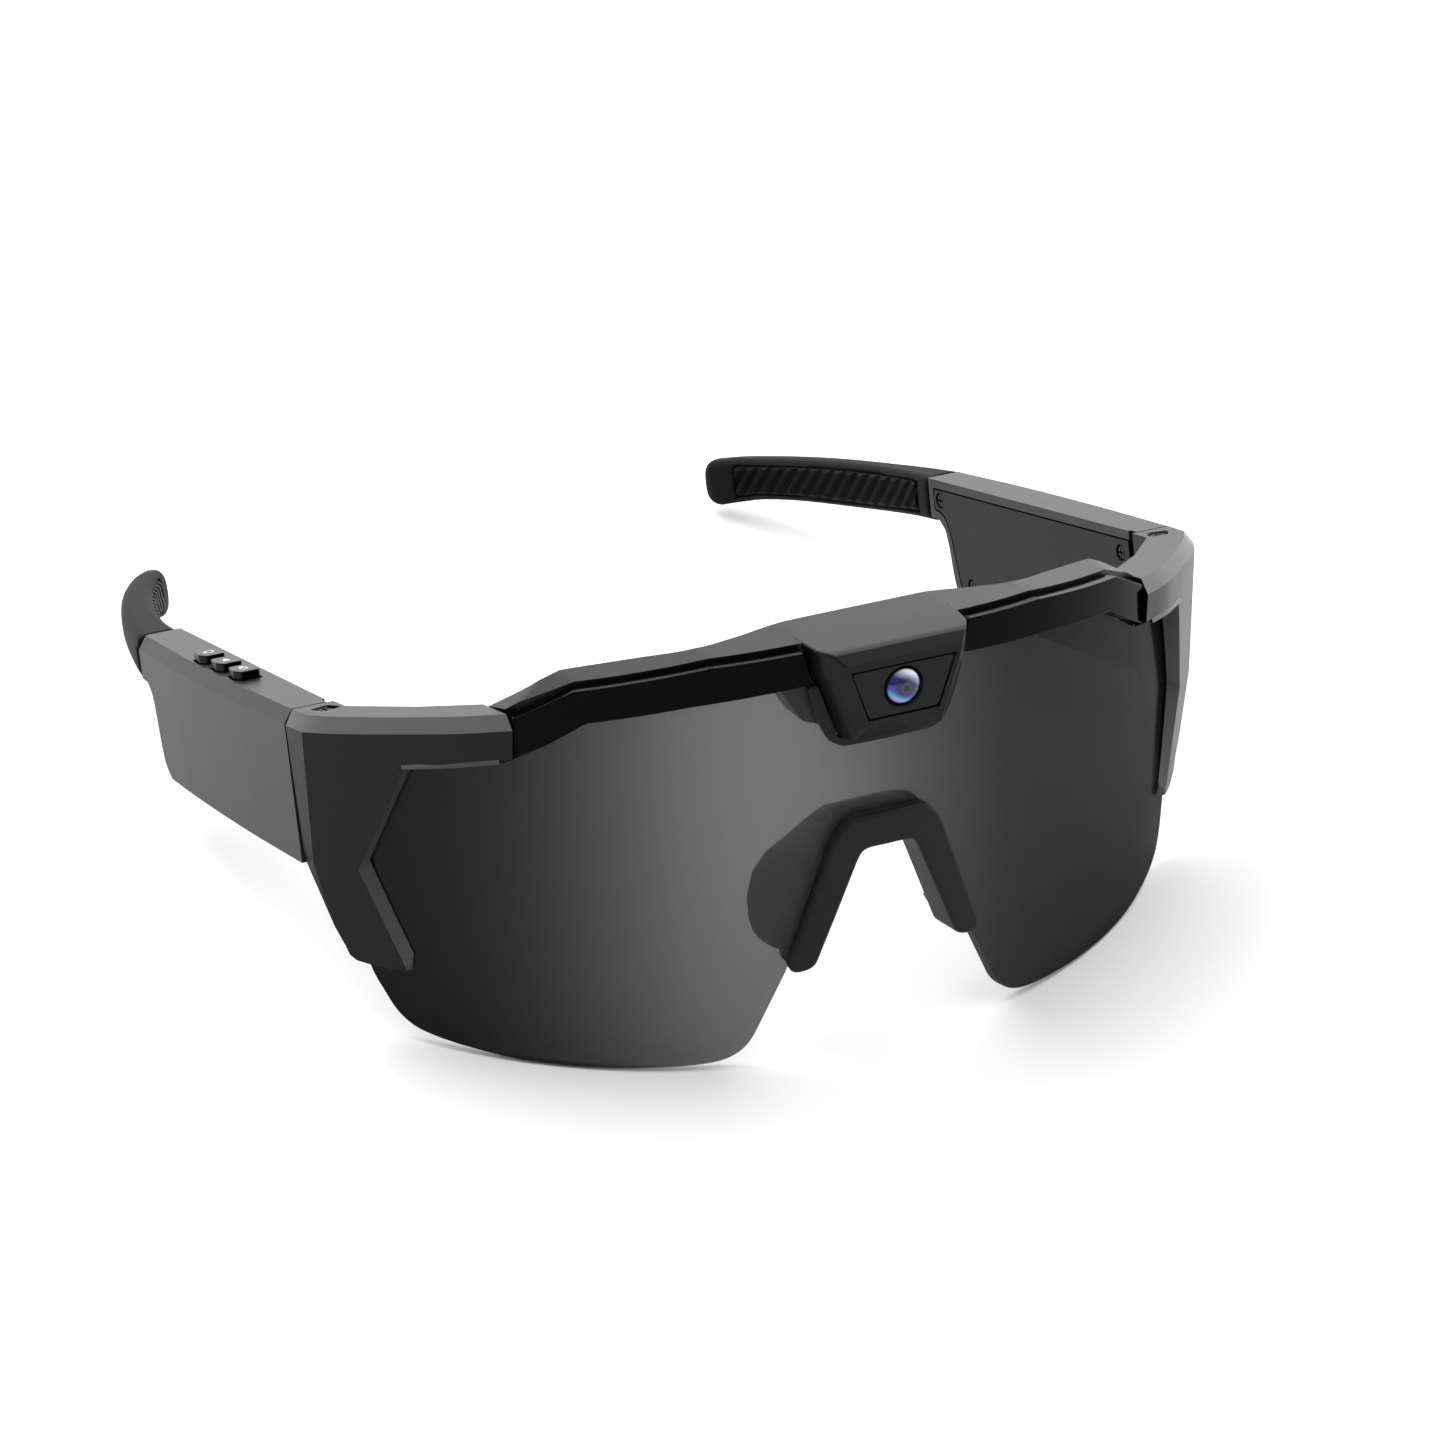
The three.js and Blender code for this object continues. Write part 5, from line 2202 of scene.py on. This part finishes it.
@dataclass
class Buttons:
    """The three push buttons on the wearer's right temple."""

    rows: tuple[float, ...] = (49.3, 57.2, 64.9)
    centre_x: float = 74.4
    top_z: float = 59.4
    bodies: tuple[str, ...] = ("first_button", "second_button", "third_button")

    def prism(self, k: int, grow: float, low: float, high: float, inset: float = 0.0) -> Solid:
        """A slice of a button's shape between two heights, on the left.

        Args:
            k: Which button, from 0.
            grow: How much larger than the button it is.
            low: Its foot.
            high: Its top.
            inset: How much smaller it is.

        Returns:
            The slice, in the worn frame.
        """
        g = grow - inset
        corners = [
            (-1.9 - g, -2.5 - g),
            (1.2 + g * 0.6, -2.5 - g),
            (2 + g, -0.6),
            (1.6 + g, 2.5 + g),
            (-1.9 - g, 2.5 + g),
        ]
        outline = softened([(self.centre_x + x, self.rows[k] + y) for x, y in corners], 0.45, 4)
        return Solid.prism(outline, "z", low, high)

    def sign(self, icon: Icon) -> list[Outline]:
        """Outlines of a sign about (0, 0), in millimetres.

        Args:
            icon: The sign.

        Returns:
            The outlines of its parts.
        """
        ring = [
            (r * math.cos(t), r * math.sin(t))
            for r, turns in ((0.85, range(0, 21)), (0.66, range(20, -1, -1)))
            for t in (math.radians(120 + 15 * k) for k in turns)
        ]
        if icon is Icon.POWER:
            return [ring, [(-0.1, 0.25), (0.1, 0.25), (0.1, 1.05), (-0.1, 1.05)]]
        if icon is Icon.PLAY:
            bar = [(-0.95, -0.65), (-0.75, -0.65), (-0.75, 0.65), (-0.95, 0.65)]
            return [[(-0.45, -0.65), (0.75, 0.0), (-0.45, 0.65)], bar]
        case = [
            [(-0.95, 0.42), (0.4, 0.42), (0.4, 0.6), (-0.95, 0.6)],
            [(-0.95, -0.6), (0.4, -0.6), (0.4, -0.42), (-0.95, -0.42)],
            [(-0.95, -0.41), (-0.77, -0.41), (-0.77, 0.41), (-0.95, 0.41)],
            [(0.22, -0.41), (0.4, -0.41), (0.4, 0.41), (0.22, 0.41)],
        ]
        return [*case, [(0.52, -0.2), (0.95, -0.5), (0.95, 0.5), (0.52, 0.2)]]

    def build(self, finishes: Finishes) -> None:
        """Makes the caps and their signs on the right.

        Args:
            finishes: The materials.
        """
        flip = Side.RIGHT.flip()
        inside = Solid.block((72.2, 0, 0), (76.6, REACH, REACH))
        for k, (row, body, icon) in enumerate(zip(self.rows, self.bodies, Icon)):
            flange = self.prism(k, 0.6, 54.9, 55.8).kept_in(inside)
            cap = self.prism(k, 0, 55.2, self.top_z).joined(flange)
            make_piece(
                f"button_cap_{k + 1}",
                cap.placed(flip),
                WORN,
                finishes.button,
                Dressing(body, "button_black", (f"button_{k + 1}",)),
                rounding=0.22,
            )
            seat = Matrix.Translation((-self.centre_x, row, self.top_z - 0.02)) @ Matrix.Rotation(
                math.pi / 2, 4, "Z"
            )
            marks = beside(*[Solid.prism(o, "z", 0, 0.07) for o in self.sign(icon)])
            make_piece(
                f"button_sign_{k + 1}",
                marks.placed(seat),
                WORN,
                finishes.ink,
                Dressing(body, "button_black"),
                rounding=0,
            )


def dress_inner_nodes(finishes: Finishes) -> None:
    """Gives the hinges and the hidden electronics their finishes.

    Args:
        finishes: The materials.
    """
    plan: dict[str, tuple[Material, float]] = {
        "hinge_leaf_front": (finishes.hinge, 0.12),
        "hinge_leaf_temple": (finishes.hinge, 0.12),
        "hinge_pin": (finishes.steel, 0.1),
        "tip_core": (finishes.steel, 0.15),
        "battery": (finishes.foil, 0.5),
    }
    for stem, (material, rounding) in plan.items():
        for side in Side:
            redress_node(f"{stem}_{side.label}", material, rounding)
    inner = {
        "image_sensor": finishes.chip,
        "sensor_board": finishes.board,
        "ribbon_cable": finishes.flex,
        "charge_socket": finishes.steel,
        "main_board": finishes.board,
        "processor": finishes.chip,
        "button_board": finishes.board,
        "card_slot": finishes.steel,
        "memory_card": finishes.chip,
        "switch_1": finishes.chip,
        "switch_2": finishes.chip,
        "switch_3": finishes.chip,
    }
    for name, material in inner.items():
        redress_node(name, material)


# ---- the studio ----
@dataclass
class Studio:
    """A pale table, a white sky that is brightest behind the glasses, a soft light and the camera."""

    camera_at: tuple[float, float, float] = (-0.3522, -0.7087, 0.4690)
    camera_right: tuple[float, float, float] = (0.8963, -0.4422, 0.0340)
    camera_up: tuple[float, float, float] = (0.1950, 0.4619, 0.8652)
    focal_mm: float = 137.35
    bright_way: tuple[float, float, float] = (0.35, 0.72, 0.62)
    sky_low: float = 0.15
    sky_high: float = 2.6

    def build(self) -> None:
        """Sets up the floor, the sky, the light and the camera."""
        self._floor()
        self._sky()
        self._light("key_light", (-0.35, 0.35, 0.9), (0.0, 0.0, 0.02), 0.6, 5.0)
        self._camera()

    def _floor(self) -> None:
        """Lays the table top."""
        bpy.ops.mesh.primitive_plane_add(size=12.0, location=(0, 0, -0.0001))
        floor = bpy.context.object
        floor.name = "table_top"
        m = blank_material("white laminate")
        shader = add_node(
            m,
            "BsdfPrincipled",
            {"in:Base Color": linear("#dcdcdc"), "in:Roughness": 0.8, "in:Specular IOR Level": 0.1},
        )
        floor.data.materials.append(close_material(m, shader))

    def _sky(self) -> None:
        """Lights the scene from all round, most of all from behind the glasses."""
        world = bpy.data.worlds.new("studio sky")
        world.use_nodes = True
        world.node_tree.nodes.clear()
        place = add_node(world, "TexCoord")
        toward = add_node(
            world,
            "VectorMath",
            {"operation": "DOT_PRODUCT", "in:1": tuple(Vector(self.bright_way).normalized())},
            {"0": place.outputs["Generated"]},
        )
        strength = add_node(
            world,
            "MapRange",
            {
                "interpolation_type": "SMOOTHSTEP",
                "in:From Min": -0.6,
                "in:To Min": self.sky_low,
                "in:To Max": self.sky_high,
            },
            {"Value": toward.outputs["Value"]},
        )
        background = add_node(
            world,
            "Background",
            {"in:Color": (1.0, 1.0, 1.0, 1.0)},
            {"Strength": strength.outputs["Result"]},
        )
        add_node(world, "OutputWorld", links={"Surface": background.outputs[0]})
        bpy.context.scene.world = world
        bpy.context.scene.view_settings.view_transform = "Standard"

    def _light(self, name: str, place: Point, aim: Point, size: float, power: float) -> None:
        """Hangs a square soft light that looks at a point.

        Args:
            name: Its name.
            place: Where it hangs.
            aim: What it looks at.
            size: Side of the square.
            power: Its power in watts.
        """
        lamp = bpy.data.lights.new(name, "AREA")
        lamp.shape = "SQUARE"
        lamp.size = size
        lamp.energy = power
        holder = bpy.data.objects.new(name, lamp)
        holder.location = place
        away = Vector(place) - Vector(aim)
        holder.rotation_mode = "QUATERNION"
        holder.rotation_quaternion = away.to_track_quat("Z", "Y")
        bpy.context.scene.collection.objects.link(holder)

    def _camera(self) -> None:
        """Stands the camera above the wearer's right and ahead of the glasses."""
        eye = bpy.data.cameras.new("camera")
        eye.sensor_width = 36.0
        eye.lens = self.focal_mm
        eye.clip_start = 0.05
        eye.clip_end = 20.0
        holder = bpy.data.objects.new("camera", eye)
        right = Vector(self.camera_right).normalized()
        up = Vector(self.camera_up).normalized()
        back_axis = right.cross(up).normalized()
        up = back_axis.cross(right)
        turn = Matrix((right, up, back_axis)).transposed().to_4x4()
        holder.matrix_world = Matrix.Translation(self.camera_at) @ turn
        bpy.context.scene.collection.objects.link(holder)
        bpy.context.scene.camera = holder


def main() -> None:
    """Builds every sub-assembly in turn and reports it."""
    logging.basicConfig(level=logging.INFO, format="%(name)s: %(message)s")
    Studio().build()
    finishes = Finishes()
    builders = (
        ShieldLens(),
        Brow(),
        BrowTrim(),
        Camera(),
        NosePiece(),
        SideShield(),
        Temple(),
        Buttons(),
    )
    for builder in builders:
        builder.build(finishes)
        log.info("%s is in place", type(builder).__name__)
    dress_inner_nodes(finishes)


if __name__ == "__main__":
    main()
